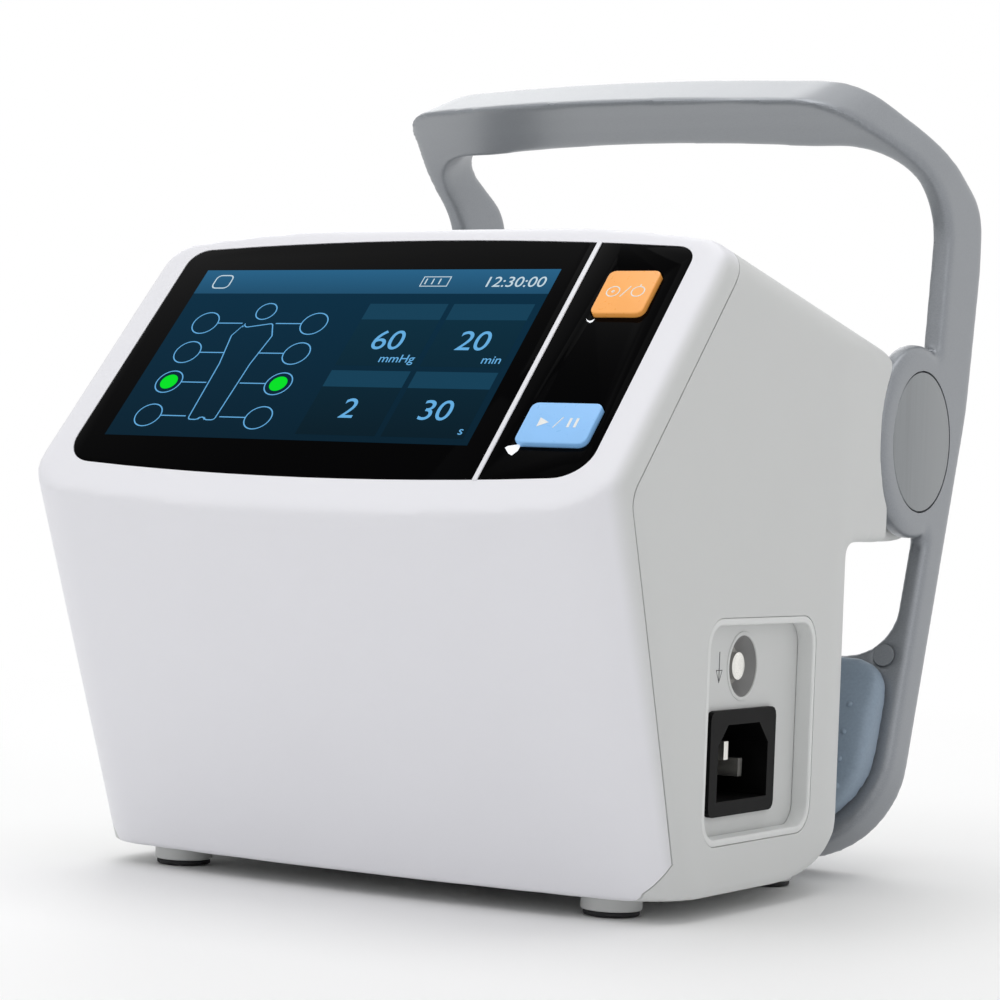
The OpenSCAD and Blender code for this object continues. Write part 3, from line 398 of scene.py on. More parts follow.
def soften(piece, repeat, keep=None):
    """Rounds the edges of an even mesh; keep names the vertices that stay."""
    settings = {"factor": 0.5, "iterations": repeat}
    if keep:
        group = piece.vertex_groups.new(name="soft")
        group.add([v.index for v in piece.data.vertices if not keep(v.co / MM)], 1.0, "REPLACE")
        settings["vertex_group"] = "soft"
    modifier(piece, "SMOOTH", **settings)
    piece.vertex_groups.clear()
    return piece


def even_mesh(piece, voxel):
    return modifier(piece, "REMESH", mode="VOXEL", voxel_size=voxel * MM, use_smooth_shade=True)


def edge_bevel(piece, width, segments=3):
    limit = {"limit_method": "ANGLE", "angle_limit": math.radians(35)}
    return modifier(piece, "BEVEL", width=width * MM, segments=segments, **limit)


def shade(piece, degrees=35):
    only(piece)
    bpy.ops.object.shade_smooth_by_angle(angle=math.radians(degrees))
    return piece


def dress(piece, material, *nodes, body="housing"):
    """Gives a piece its material and its body, and lets it stand for CAD nodes."""
    piece.data.materials.clear()
    piece.data.materials.append(material)
    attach(piece, body)
    if nodes:
        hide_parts(*nodes)


# ---- shader maths ----
class Value:
    """A node's output that adds Math nodes where an expression uses it."""

    def __init__(self, shop, socket):
        self.shop, self.socket = shop, socket

    def math(self, operation, other=0.0):
        return self.shop.add("Math", {0: self, 1: other}, operation=operation)

    def __add__(self, other):
        return self.math("ADD", other)

    def __mul__(self, other):
        return self.math("MULTIPLY", other)

    __radd__ = __add__
    __rmul__ = __mul__


class Nodes:
    """The nodes of one material or world."""

    def __init__(self, owner, coordinates, output):
        owner.use_nodes = True
        self.tree = owner.node_tree
        self.output = self.tree.nodes[output]
        self.place = self.add("TexCoord", {}, coordinates)

    def set(self, node, inputs):
        for key, value in inputs.items():
            if isinstance(value, Value):
                self.tree.links.new(value.socket, node.inputs[key])
            else:
                node.inputs[key].default_value = value

    def add(self, kind, inputs, output=0, **settings):
        node = self.tree.nodes.new("ShaderNode" + kind)
        for key, value in settings.items():
            setattr(node, key, value)
        self.set(node, inputs)
        return Value(self, node.outputs[output])

    def axis(self, index):
        return self.add("SeparateXYZ", {"Vector": self.place}, index)

    def ramp(self, value, low, high, start=0.0, end=1.0, kind="LINEAR"):
        inputs = {0: value, 1: low, 2: high, 3: start, 4: end}
        return self.add("MapRange", inputs, interpolation_type=kind)

    def pale_rays(self):
        """1 for the rays that see the pale background: the camera's, and those of metal and glass."""
        kinds = ("Is Camera Ray", "Is Glossy Ray", "Is Transmission Ray")
        camera, glossy, clear = (self.add("LightPath", {}, kind) for kind in kinds)
        return camera.math("MAXIMUM", glossy).math("MAXIMUM", clear)

    def blend(self, factor, first, second):
        """Blends two shaders and leads them to the output."""
        self.set(self.output, {0: self.add("MixShader", {0: factor, 1: first, 2: second})})


class Shop(Nodes):
    """The nodes of one material."""

    def __init__(self, name):
        self.material = bpy.data.materials.new(name)
        super().__init__(self.material, "Object", "Material Output")
        self.shader = self.tree.nodes["Principled BSDF"]

    def noise(self, scale, detail, place=None):
        return self.add("TexNoise", {"Vector": place or self.place, "Scale": scale, "Detail": detail})

    def mix(self, factor, first, second):
        return self.add("Mix", {"Factor": factor, 6: first, 7: second}, 2, data_type="RGBA")

    def shaded(self, factor, colour, spread):
        """The colour from its darker to its lighter shade, as the factor rises."""
        return self.mix(factor, *shades(colour, spread))

    def stretched(self, x, y, z):
        return self.add("Mapping", {"Vector": self.place, "Scale": (x, y, z)})

    def bump(self, height, distance, strength):
        return self.add("Bump", {"Height": height, "Distance": distance, "Strength": strength})

    def finish(self, **inputs):
        words = {key.replace("_", " "): value for key, value in inputs.items()}
        self.set(self.shader, words)
        return self.material


def shades(colour, spread):
    """A darker and a lighter shade of a colour."""
    dark = tuple(c * (1 - spread) for c in colour[:3]) + (1,)
    light = tuple(min(1, c * (1 + spread)) for c in colour[:3]) + (1,)
    return dark, light


def moulded(name, colour, roughness, painted_side_shade=None):
    """Satin moulded plastic with a fine grain and a faint cloudiness; a last colour, if given, is painted
    onto the two sides as painted shade, for sides that get less light than the front.
    """
    shop = Shop(name)
    fine = shop.noise(2600, 2)
    tone = shop.shaded(shop.noise(35, 2), colour, 0.012)
    # Painted shade: near the two sides the tone fades to the side colour, as the sides get less light than
    # the front
    if painted_side_shade:
        reach = shop.axis(0).math("ABSOLUTE")
        edge = shop.ramp(reach, (HALF_W - 3.2) * MM, (HALF_W - 0.2) * MM, kind="SMOOTHSTEP")
        tone = shop.mix(edge, tone, painted_side_shade)
    rough = fine * 0.08 + (roughness - 0.04)
    return shop.finish(Base_Color=tone, Roughness=rough, Normal=shop.bump(fine, 0.00002, 0.35))


def silver_paint(name, colour):
    """Fine metallic paint: bright flakes in a satin base."""
    shop = Shop(name)
    flakes = shop.add("TexVoronoi", {"Vector": shop.place, "Scale": 4200.0}, 1)
    spark = shop.add("SeparateColor", {"Color": flakes})
    bump = shop.bump(shop.noise(900, 2), 0.00002, 0.3)
    tone = shop.shaded(spark, colour, 0.06)
    return shop.finish(Base_Color=tone, Roughness=spark * 0.08 + 0.3, Metallic=0.45, Normal=bump)


def brushed(name, colour, stretch, roughness=0.34):
    """Metal brushed in one direction."""
    shop = Shop(name)
    streaks = shop.noise(1.0, 4, shop.stretched(*stretch))
    tone, rough = shop.shaded(streaks, colour, 0.16), streaks * 0.22 + (roughness - 0.1)
    bump = shop.bump(streaks, 0.00001, 0.25)
    return shop.finish(Base_Color=tone, Roughness=rough, Metallic=0.9, Normal=bump)


def gloss(name, colour, roughness, mirror=0.5):
    """Polished plastic or glass, with the slight waviness of a real sheet."""
    shop = Shop(name)
    wavy = shop.noise(60, 1)
    shop.shader.inputs["Specular IOR Level"].default_value = mirror
    rough = shop.noise(300, 2) * 0.04 + (roughness - 0.02)
    tone = shop.shaded(wavy, colour, 0.04)
    return shop.finish(Base_Color=tone, Roughness=rough, Normal=shop.bump(wavy, 0.00001, 0.1))


def key_plastic(name, colour, painted_glow):
    """Translucent plastic with a faint painted glow, as if lit from below."""
    shop = Shop(name)
    tone = shop.shaded(shop.noise(120, 2), colour, 0.06)
    rough = shop.noise(900, 2) * 0.1 + 0.24
    # Painted glow: emission in the plastic's own tone stands in for light shining through it
    shop.shader.inputs["Emission Strength"].default_value = painted_glow
    return shop.finish(Base_Color=tone, Emission_Color=tone, Roughness=rough)


def rubber(name, colour, roughness):
    shop = Shop(name)
    fine = shop.noise(1400, 3)
    tone, rough = shop.shaded(fine, colour, 0.12), fine * 0.12 + (roughness - 0.06)
    return shop.finish(Base_Color=tone, Roughness=rough, Normal=shop.bump(fine, 0.00004, 0.5))


def lit(name, colour, tall=None):
    """A part of the picture on the display; tall gives a second colour that it fades to, up the panel."""
    shop = Shop(name)
    tone = colour
    if tall:
        low, high, top = tall
        tone = shop.mix(shop.ramp(shop.axis(2), low * MM, high * MM), colour, top)
    shop.shader.inputs["Emission Strength"].default_value = 1.0
    shop.shader.inputs["Specular IOR Level"].default_value = 0.01
    return shop.finish(Base_Color=PANEL_BLACK, Emission_Color=tone, Roughness=0.12)


def board(name, colour):
    """Solder mask over tracks."""
    shop = Shop(name)
    tracks = shop.add("TexBrick", {"Vector": shop.place, "Scale": 160.0}, 1)
    return shop.finish(Base_Color=shop.shaded(tracks, colour, -0.35), Roughness=tracks * 0.1 + 0.3)


# ---- what a user would change ----
def colour_property(name, description, default):
    return bpy.props.FloatVectorProperty(
        name=name, description=description, subtype="COLOR", size=4, min=0, max=1, default=default
    )


def length_property(name, description, low, high, default):
    return bpy.props.FloatProperty(
        name=name, description=description, unit="LENGTH", min=low, max=high, default=default
    )


class PumpColours(bpy.types.PropertyGroup):
    """Colours of the pump's pieces."""

    front: colour_property("Front shell", "White plastic of the front shell", (0.82, 0.82, 0.86, 1))
    rear: colour_property("Rear shell", "Warm grey plastic of the rear shell", (0.64, 0.65, 0.645, 1))
    glass: colour_property("Panel", "Black of the glass and the key plate", PANEL_BLACK)
    silver: colour_property("Handle frame", "Silver paint of the handle frame", (0.27, 0.285, 0.307, 1))
    cap: colour_property("Hub caps", "Brushed metal of the hub caps", (0.245, 0.258, 0.268, 1))
    pad: colour_property("Clamp pad", "Blue-grey of the clamp pad", (0.26, 0.33, 0.41, 1))
    power: colour_property("Power key", "Orange of the power key", (0.8, 0.34, 0.075, 1))
    start: colour_property("Start key", "Light blue of the start key", (0.21, 0.44, 0.76, 1))
    lines: colour_property("Picture lines", "Light blue lines of the picture", (0.13, 0.42, 0.75, 1))


class PumpSizes(bpy.types.PropertyGroup):
    """Sizes that set how soft and how fine the pieces are."""

    voxel: length_property("Mesh size", "Spacing of the even meshes", 0.0006, 0.003, 0.001)
    frame_voxel: length_property("Frame mesh size", "Spacing of the frame's mesh", 0.0006, 0.003, 0.0008)
    softness: bpy.props.IntProperty(
        name="Softness", description="Times that the housing is smoothed", min=0, max=60, default=14
    )
    seam: length_property("Seam", "Gap between the two shells", 0, 0.001, 0.00035)
    dot: length_property("Pad dots", "Radius of the dots on the clamp pad", 0.0003, 0.002, 0.0008)


def sizes():
    return bpy.context.scene.pump_sizes


def colours():
    return bpy.context.scene.pump_colours


# ---- housing ----
def housing_form(name, amount):
    """The housing's outer form moved inwards, where its five outlines meet."""
    body = prism(name, inset(side_outline(), amount), ALONG_X, -HALF_W + amount, HALF_W - amount)
    lean = Matrix.Rotation(math.radians(FRONT_LEAN), 4, "X")
    slope = Matrix.Rotation(math.radians(-TOP_SLOPE), 4, "X") @ ALONG_Y
    rim = [(-HALF_W, -FAR, 0), (HALF_W, -FAR, 0), (HALF_W, 0, RIM_R), (-HALF_W, 0, RIM_R)]
    for outline, place in ((front_outline(), lean), (crown_outline(), slope), (rim, ON_PANEL @ ALONG_Y)):
        combine(body, prism("face_cut", inset(outline, amount), place, -FAR, FAR), "INTERSECT")
    plan = prism("plan", inset(lower_plan(), amount), ALONG_Z, 0, UNDER_Z + 2 * amount + 3)
    for side in (-1, 1):
        for angle in (22.5, 45, 67.5):
            combine(plan, base_cut(amount, side, angle), "INTERSECT")
    combine(plan, prism("plan_up", inset(upper_plan(), amount), ALONG_Z, UNDER_Z + amount, FAR), "UNION")
    return combine(body, plan, "INTERSECT")


def base_cut(amount, side, angle):
    """The rounded lower back edge, turned round one upright back corner."""
    outline = [(-FAR, BASE_H, 0), (REAR_CORNER_R, BASE_H, REAR_BASE_R)]
    outline += [(REAR_CORNER_R, FAR, 0), (-FAR, FAR, 0)]
    corner = at(side * (HALF_W - REAR_CORNER_R), BACK_Y - REAR_CORNER_R, 0)
    turn = Matrix.Rotation(math.radians(angle if side > 0 else 180 - angle), 4, "Z")
    return prism("base_cut", inset(outline, amount), corner @ turn @ ALONG_Y, -FAR, FAR)


def front_side(gap):
    """The space in front of the split."""
    return prism("split", seam_outline(gap), ALONG_X, -HALF_W - 5, HALF_W + 5)


def hub_cut(side):
    """The space of the hub, and of the arm behind the side face."""
    cut = cylinder("hub_cut", HUB_R + HUB_GAP, BARREL_HALF_W, HALF_W + 20, at_pivot(side))
    behind = rectangle(PIVOT.y - EAR_END, UNDER_Z - 60, PIVOT.y + FAR, BARREL_TOP + 60)
    return combine(cut, side_slab("arm_cut", behind, side, BARREL_HALF_W, HALF_W + 20), "UNION")


def recess_outline():
    y = LIP_Y + RECESS_FRONT
    return rectangle(y, RECESS_LOW, y + RECESS_W, RECESS_LOW + RECESS_H, 5)


def low_part(point):
    """The chin and the underside, whose edges stay tighter."""
    return point.z < CREASE_H + 2.5


def housing_skin():
    """The whole housing as one softened solid, with the cuts that have rounded edges."""
    skin = housing_form("skin", 0)
    for side in (-1, 1):
        combine(skin, hub_cut(side))
    even_mesh(skin, sizes().voxel / MM)
    soften(skin, sizes().softness, low_part)
    return soften(skin, 3)


def hollow():
    """The space inside the shells."""
    inner = housing_form("inner", WALL)
    start = PIVOT.y - HUB_R - HUB_GAP - WALL
    outline = rectangle(start, UNDER_Z - FAR / 4, PIVOT.y + FAR, BARREL_TOP + 20)
    for side in (-1, 1):
        combine(inner, side_slab("hub_wall", outline, side, BARREL_HALF_W - WALL, HALF_W + 5))
    walls = inset(recess_outline(), -WALL)
    return combine(inner, prism("recess_wall", walls, ALONG_X, RECESS_X - WALL, HALF_W))


def glass_zone(amount, low, high, left):
    """The part of the black panel to the left or right of the divider, grown or shrunk, as a slab."""
    slab = prism("zone", inset(glass_outline(), amount), ON_PANEL, low, high)
    edge = DIVIDER_X - DIVIDER_W / 2 - amount if left else DIVIDER_X + DIVIDER_W / 2 + amount
    x0, x1 = (-HALF_W, edge) if left else (edge, HALF_W)
    side = prism("zone_side", rectangle(x0, 0, x1, PANEL_LEN), ON_PANEL, low - 1, high + 1)
    return combine(slab, side, "INTERSECT")


class PUMP_OT_housing(bpy.types.Operator):
    """Models the front and the rear shell from one softened form, split at the seam"""

    bl_idname = "pump.housing"
    bl_label = "Housing"

    def execute(self, context):
        tones = colours()
        skin = housing_skin()
        inner = hollow()
        front = copy_of(skin, "front_cover")
        combine(front, front_side(0), "INTERSECT")
        rear = combine(skin, front_side(-sizes().seam / MM))
        # A band under the panel keeps the frame that the glass lies on
        band = prism("band", inset(glass_outline(), -2), ON_PANEL, -GLASS_T - SLACK - WALL, 3)
        front_inner = combine(copy_of(inner, "front_inner"), band)
        combine(front, front_inner)
        combine(rear, inner)
        for left in (True, False):
            combine(front, glass_zone(-SLACK / 2, -GLASS_T - SLACK, 5, left))
            combine(front, glass_zone(LEDGE, -3 * WALL, 0, left))
        self.cut_rear(rear)
        rear = joined("rear_cover", [rear] + self.bosses())
        # The front shell's sides carry the rear grey as painted shade, where they get less light than the
        # front
        white = moulded("white_plastic", tones.front, 0.4, painted_side_shade=tones.rear)
        grey = moulded("warm_grey_plastic", tones.rear, 0.46)
        dress(shade(front), white, "front_shell")
        dress(shade(rear), grey, "rear_shell")
        # The bezel is a lighter shade of the rear grey: painted light, for the recess lip and walls that
        # face the front light
        bezel = prism("recess_bezel", inset(recess_outline(), -1.6), ALONG_X, RECESS_X, HALF_W)
        combine(bezel, prism("bezel_cut", recess_outline(), ALONG_X, RECESS_X - 2, HALF_W + 2))
        edge_bevel(bezel, 0.6, 4)
        dress(shade(bezel), moulded("bezel_painted_light", shades(tones.rear, 0.14)[1], 0.38))
        return {"FINISHED"}

    def cut_rear(self, rear):
        """Holes and openings with crisp edges."""
        combine(rear, prism("recess", inset(recess_outline(), -1.65), ALONG_X, RECESS_X, HALF_W + 5))
        floor = RECESS_X - STUD_DISH_D
        backing = cylinder("backing", STUD_DISH_R + 1.5, floor - WALL, RECESS_X - 0.5, STUD_PLACE, 48)
        combine(rear, backing, "UNION")
        combine(rear, cylinder("dish", STUD_DISH_R, floor, RECESS_X + 1, STUD_PLACE))
        combine(rear, self.stud_hole())
        across, up = INLET_HALF
        box = rectangle(INLET_Y - across, INLET_Z - up, INLET_Y + across, INLET_Z + up, 1)
        combine(rear, prism("inlet_hole", box, ALONG_X, RECESS_X - 6, HALF_W))
        for node in AIR_SOCKETS:
            place = at_right(0, *middle(node)[1:])
            combine(rear, cylinder("hole", AIR_HOLE_R, -HALF_W - 3, -HALF_W + 8, place))
        for n in range(-4, 5):
            x = n * SLOT_PITCH
            slot = rectangle(x - SLOT_W / 2, LIP_Y + 62, x + SLOT_W / 2, LIP_Y + 92, 1.2)
            combine(rear, prism("slot", slot, ALONG_Z, BASE_H - 2, BASE_H + 5))
        for x in (-SCREW_X, SCREW_X):
            place = at(x, LIP_Y + SCREW_BACK, 0)
            combine(rear, cylinder("screw_hole", SCREW_HOLE_R, BASE_H - 2, BASE_H + 1, place))

    def stud_hole(self):
        return cylinder("stem", STUD_R, RECESS_X - 12, RECESS_X, STUD_PLACE, 48)

    def bosses(self):
        """Foot bosses, pivot bosses and the rim of the stud's dish."""
        made = []
        for node in FEET:
            place = at(*middle(node)[:2], 0)
            boss = cylinder("boss", FOOT_BOSS_R, FOOT_T, BASE_H + 1, place)
            made.append(edge_bevel(boss, 0.4))
        for side in (-1, 1):
            ring = cylinder("ring", 10.5, BARREL_HALF_W - 20, BARREL_HALF_W - 1.2, at_pivot(side))
            made.append(combine(ring, cylinder("bore", 8, 0, HALF_W, at_pivot(side))))
        # The dark grey lining of the stud's dish is painted shade: it stands in for the shade in the deep
        # well
        floor = RECESS_X - STUD_DISH_D - 0.3
        lining = cylinder("stud_dish", STUD_DISH_R + 0.2, floor, RECESS_X - 0.1, STUD_PLACE)
        depth = STUD_DISH_D + 0.2
        radii = {"radius1": (STUD_R + SLACK) * MM, "radius2": (STUD_DISH_R - 0.15) * MM}
        bpy.ops.mesh.primitive_cone_add(vertices=96, depth=depth * MM, **radii)
        seat = metres(STUD_PLACE @ at(0, 0, RECESS_X - STUD_DISH_D / 2 + 0.1))
        combine(lining, settle(named("cone"), seat))
        combine(lining, self.stud_hole())
        dress(shade(lining), moulded("dish_painted_shade", (0.2, 0.2, 0.2, 1), 0.4))
        rim = cylinder("rim", STUD_DISH_R + 0.6, RECESS_X - 1, RECESS_X + 0.2, STUD_PLACE)
        combine(rim, cylinder("rim_cut", STUD_DISH_R - 0.3, RECESS_X - 2, RECESS_X + 4, STUD_PLACE))
        made.append(edge_bevel(rim, 0.15))
        return made


# ---- screen panel ----
def flat_art(name, polylines, width, matrix, closed=()):
    """Thin raised lines on a plane, from lists of points in millimetres."""
    curve = bpy.data.curves.new(name, "CURVE")
    curve.dimensions = "3D"
    curve.bevel_depth = width / 2 * MM
    curve.bevel_resolution = 1
    for index, line in enumerate(polylines):
        spline = curve.splines.new("POLY")
        spline.points.add(len(line) - 1)
        for target, point in zip(spline.points, line):
            target.co = (point[0] * MM, point[1] * MM, 0, 1)
        spline.use_cyclic_u = index in closed
    art = bpy.data.objects.new(name, curve)
    bpy.context.collection.objects.link(art)
    only(art)
    bpy.ops.object.convert(target="MESH")
    return settle(named(name), metres(matrix) @ Matrix.Diagonal((1, 1, LINE_SQUEEZE, 1)))


def ring(x, y, radius, steps=40):
    angles = [2 * math.pi * k / steps for k in range(steps)]
    return [(x + radius * math.cos(angle), y + radius * math.sin(angle)) for angle in angles]


def words(name, text, x, y, size, matrix, align):
    """Plain lettering on a plane."""
    bpy.ops.object.text_add()
    letters = bpy.context.object.data
    letters.body, letters.size, letters.align_x = text, size * MM, align
    letters.extrude = 0.00002
    bpy.ops.object.convert(target="MESH")
    return settle(named(name), metres(matrix @ at(x, y, 0)))


def raised(height):
    """The panel's plane, moved out by a height."""
    return ON_PANEL @ at(0, 0, height)


class PUMP_OT_panel(bpy.types.Operator):
    """Models the black glass, the key plate and the divider between them"""

    bl_idname = "pump.panel"
    bl_label = "Screen panel"

    def execute(self, context):
        black = gloss("black_panel", colours().glass, 0.07, mirror=0.01)
        glass = edge_bevel(glass_zone(0, -GLASS_T, 0, True), 0.25, 2)
        dress(shade(joined("screen_glass", [glass])), black, "display_glass")
        plate = glass_zone(0, -GLASS_T, 0, False)
        for node in KEYS:
            combine(plate, self.key_hole(node))
        edge_bevel(plate, 0.2, 2)
        dress(shade(joined("key_panel", [plate])), black, "key_plate")
        divider = prism("divider", self.divider_outline(), ON_PANEL, -GLASS_T, 0.25)
        edge_bevel(divider, 0.22)
        dress(shade(divider), moulded("divider_plastic", colours().front, 0.3))
        return {"FINISHED"}

    def key_hole(self, node):
        x0, v0, x1, v1 = key_box(node)
        return prism("key_hole", rectangle(x0 - 0.35, v0 - 0.35, x1 + 0.35, v1 + 0.35, 2), ON_PANEL, -5, 3)

    def divider_outline(self):
        half = DIVIDER_W / 2 + 0.1
        trim = GLASS_BOW * (DIVIDER_X / GLASS_HALF_W) ** 2 + 0.1
        low, high = GLASS_LOW + trim - 0.4, GLASS_LOW + GLASS_LEN - trim + 0.4
        return rectangle(DIVIDER_X - half, low, DIVIDER_X + half, high)


def key_box(node):
    x, v, width, length = KEYS[node]
    return x - width / 2, v - length / 2, x + width / 2, v + length / 2


class PUMP_OT_picture(bpy.types.Operator):
    """Draws the picture on the display: a plain layout of numbers, cuff circles and a title bar"""

    bl_idname = "pump.picture"
    bl_label = "Display picture"

    def execute(self, context):
        x0, v0, x1, v1 = LCD
        bar_v = v1 - 7.8
        low, high = ((ON_PANEL @ Vector((0, v, 0))).z for v in (v0, v1))
        teal = lit("picture_ground", (0.001, 0.015, 0.03, 1), (low, high, (0.001, 0.028, 0.06, 1)))
        blue = lit("picture_bar", (0.012, 0.075, 0.15, 1), (high - 6, high, (0.02, 0.12, 0.24, 1)))
        tile = lit("picture_tile", (0.001, 0.011, 0.02, 1), (low, high, (0.002, 0.032, 0.06, 1)))
        line = lit("picture_line", colours().lines)
        white = lit("picture_white", (0.55, 0.68, 0.75, 1))
        green = lit("picture_green", (0.0, 0.75, 0.02, 1))
        dress(prism("picture", rectangle(x0, v0, x1, bar_v), ON_PANEL, 0, 0.03), teal)
        dress(prism("title_bar", rectangle(x0, bar_v, x1, v1), ON_PANEL, 0, 0.03), blue)
        self.tiles(tile)
        self.art("picture_words", self.words_art(), line)
        self.art("picture_signs", self.sign_art(), white)
        self.art("picture_cuffs", self.cuff_art(), line)
        dots = [cylinder("dot", 2.2, 0.05, 0.09, ON_PANEL @ at(x, v, 0), 48) for x, v in self.active()]
        self.art("picture_active", dots, green)
        return {"FINISHED"}

    def art(self, name, parts, material):
        dress(joined(name, parts), material)

    def tile_boxes(self):
        """Two columns of two tiles at the right of the picture."""
        return [(x, v, x + 20.5, v + 19.5) for v in (43.5, 22.5) for x in (-8.5, 13.5)]

    def tiles(self, material):
        heads = [(x0, v1 - 5, x1, v1) for x0, v0, x1, v1 in self.tile_boxes()]
        bodies = [prism("tile", rectangle(*box), ON_PANEL, 0.03, 0.05) for box in self.tile_boxes()]
        heads = [prism("head", rectangle(*box), ON_PANEL, 0.05, 0.06) for box in heads]
        self.art("picture_tiles", bodies, material)
        self.art("picture_heads", heads, lit("picture_head", (0.006, 0.05, 0.095, 1)))

    def words_art(self):
        made = []
        for box, number, unit in zip(self.tile_boxes(), ("60", "20", "2", "30"), ("mmHg", "min", "", "s")):
            x0, v0, x1, v1 = box
            made.append(words("number", number, (x0 + x1) / 2, v0 + 5.2, 8.4, raised(0.07), "CENTER"))
            if unit:
                made.append(words("unit", unit, x1 - 0.8, v0 + 1.2, 3.4, raised(0.07), "RIGHT"))
        return made

    def sign_art(self):
        """A square sign, a battery outline and a clock in the title bar."""
        x0, v0, x1, v1 = LCD
        battery = [(x1 - 34, v1 - 5.4), (x1 - 27, v1 - 5.4), (x1 - 27, v1 - 2.4), (x1 - 34, v1 - 2.4)]
        level = [[(x1 - 33 + n * 1.8, v1 - 4.8), (x1 - 33 + n * 1.8, v1 - 3)] for n in range(3)]
        square = rounded(rectangle(x0 + 4, v1 - 6, x0 + 8.6, v1 - 1.8, 1.2))
        art = flat_art("signs", [battery, square] + level, 0.35, raised(0.05), closed=(0, 1))
        return [art, words("clock", "12:30:00", x1 - 2, v1 - 5.6, 4.6, raised(0.04), "RIGHT")]

    def cuffs(self):
        """Middles of the eight cuff circles, in two columns beside a plain figure."""
        rows = (56.5, 47, 37.5, 27)
        return [(x, v) for v in rows for x in (-50.5, -20.5)]

    def active(self):
        return self.cuffs()[4:6]

    def cuff_art(self):
        middle = -35.5
        rings = [ring(x, v, 3.4) for x, v in self.cuffs()]
        head = ring(middle, 60.4, 2.6)
        rest = [(-3.8, 56.4), (3.8, 56.4), (5.6, 52.5), (4.2, 43.5), (3.6, 26), (0.8, 26), (0, 40)]
        rest = rest + [(-x, v) for x, v in reversed(rest[:-1])][:-1]
        body = rounded([(middle + x, v, 0.8) for x, v in rest])
        links = []
        for x, v in self.cuffs():
            side = 1 if x > middle else -1
            links.append([(x - side * 3.4, v), (middle + side * 4.6, v)])
        shapes = rings + [head, body]
        return [flat_art("cuff_lines", shapes + links, 0.3, raised(0.05), closed=range(len(shapes)))]


class PUMP_OT_keys(bpy.types.Operator):
    """Models the two keys with their signs"""

    bl_idname = "pump.keys"
    bl_label = "Keys"

    def execute(self, context):
        tones = colours()
        orange = key_plastic("orange_key_plastic", tones.power, 0.25)
        blue = key_plastic("blue_key_plastic", tones.start, 0.25)
        sign = moulded("key_sign", (0.85, 0.85, 0.82, 1), 0.4)
        looks = {"power_button": (orange, self.power_sign), "start_button": (blue, self.start_sign)}
        for node, (material, art) in looks.items():
            body = node.replace("button", "key")
            cap = prism(body, rectangle(*key_box(node), 1.6), ON_PANEL, -3, 0.92)
            edge_bevel(cap, 0.35, 4)
            dress(shade(cap), material, node, body=body)
            made = art(*KEYS[node][:2], raised(0.93))
            dress(joined(node.replace("button", "sign"), made), sign, body=body)
        return {"FINISHED"}

    def power_sign(self, x, v, plane):
        slash = [(x - 0.8, v - 1.6), (x + 0.8, v + 1.6)]
        dot = ring(x - 3, v, 0.25, 16)
        stroke = [(x + 3, v + 1.5), (x + 3, v + 2.2)]
        shapes = [ring(x - 3, v, 1.5), ring(x + 3, v, 1.5), dot, slash, stroke]
        return [flat_art("sign", shapes, 0.3, plane, closed=(0, 1, 2))]

    def start_sign(self, x, v, plane):
        arrow = prism("arrow", [(x - 4.6, v - 1.3), (x - 2.2, v), (x - 4.6, v + 1.3)], plane, 0, 0.04)
        boxes = [rectangle(x + s, v - 1.3, x + s + 0.6, v + 1.3) for s in (2.4, 4.0)]
        bars = [prism("bar", box, plane, 0, 0.04) for box in boxes]
        slash = flat_art("slash", [[(x - 0.7, v - 1.5), (x + 0.7, v + 1.5)]], 0.3, plane)
        return [arrow, slash] + bars


class PUMP_OT_lights(bpy.types.Operator):
    """Models the two light guides, which end in a small arc and a small fan"""

    bl_idname = "pump.lights"
    bl_label = "Indicator lights"

    def execute(self, context):
        pearl = key_plastic("light_guide_plastic", (0.8, 0.82, 0.85, 1), 0.35)
        arc = [(48.3, 58.7), (49.0, 57.8), (49.8, 57.4), (50.3, 57.7)]
        arc += [(50.5, 58.6), (50.0, 58.15), (49.5, 57.95), (48.9, 58.2)]
        fan = [(45.1, 20.4), (45.6, 20.9), (48.1, 21.5), (48.5, 20.8)]
        fan += [(48.5, 19.7), (47.6, 18.3), (46.6, 18.8)]
        for node, outline, x, v in (("power_light", arc, 48.9, 57.1), ("run_light", fan, 47.6, 18.9)):
            guide = cylinder("guide", 1.3, -7.5, -GLASS_T - 0.1, ON_PANEL @ at(x, v, 0), 32)
            window = prism("window", [(*point, 0) for point in outline], ON_PANEL, -GLASS_T - 0.3, 0.05)
            dress(shade(joined(node.replace("light", "guide"), [guide, window])), pearl, node)
        return {"FINISHED"}


def finish_node(node, material):
    """Gives a CAD node its material and leaves its shape alone."""
    mesh = frame["nodes"][node].data
    mesh.materials.clear()
    mesh.materials.append(material)


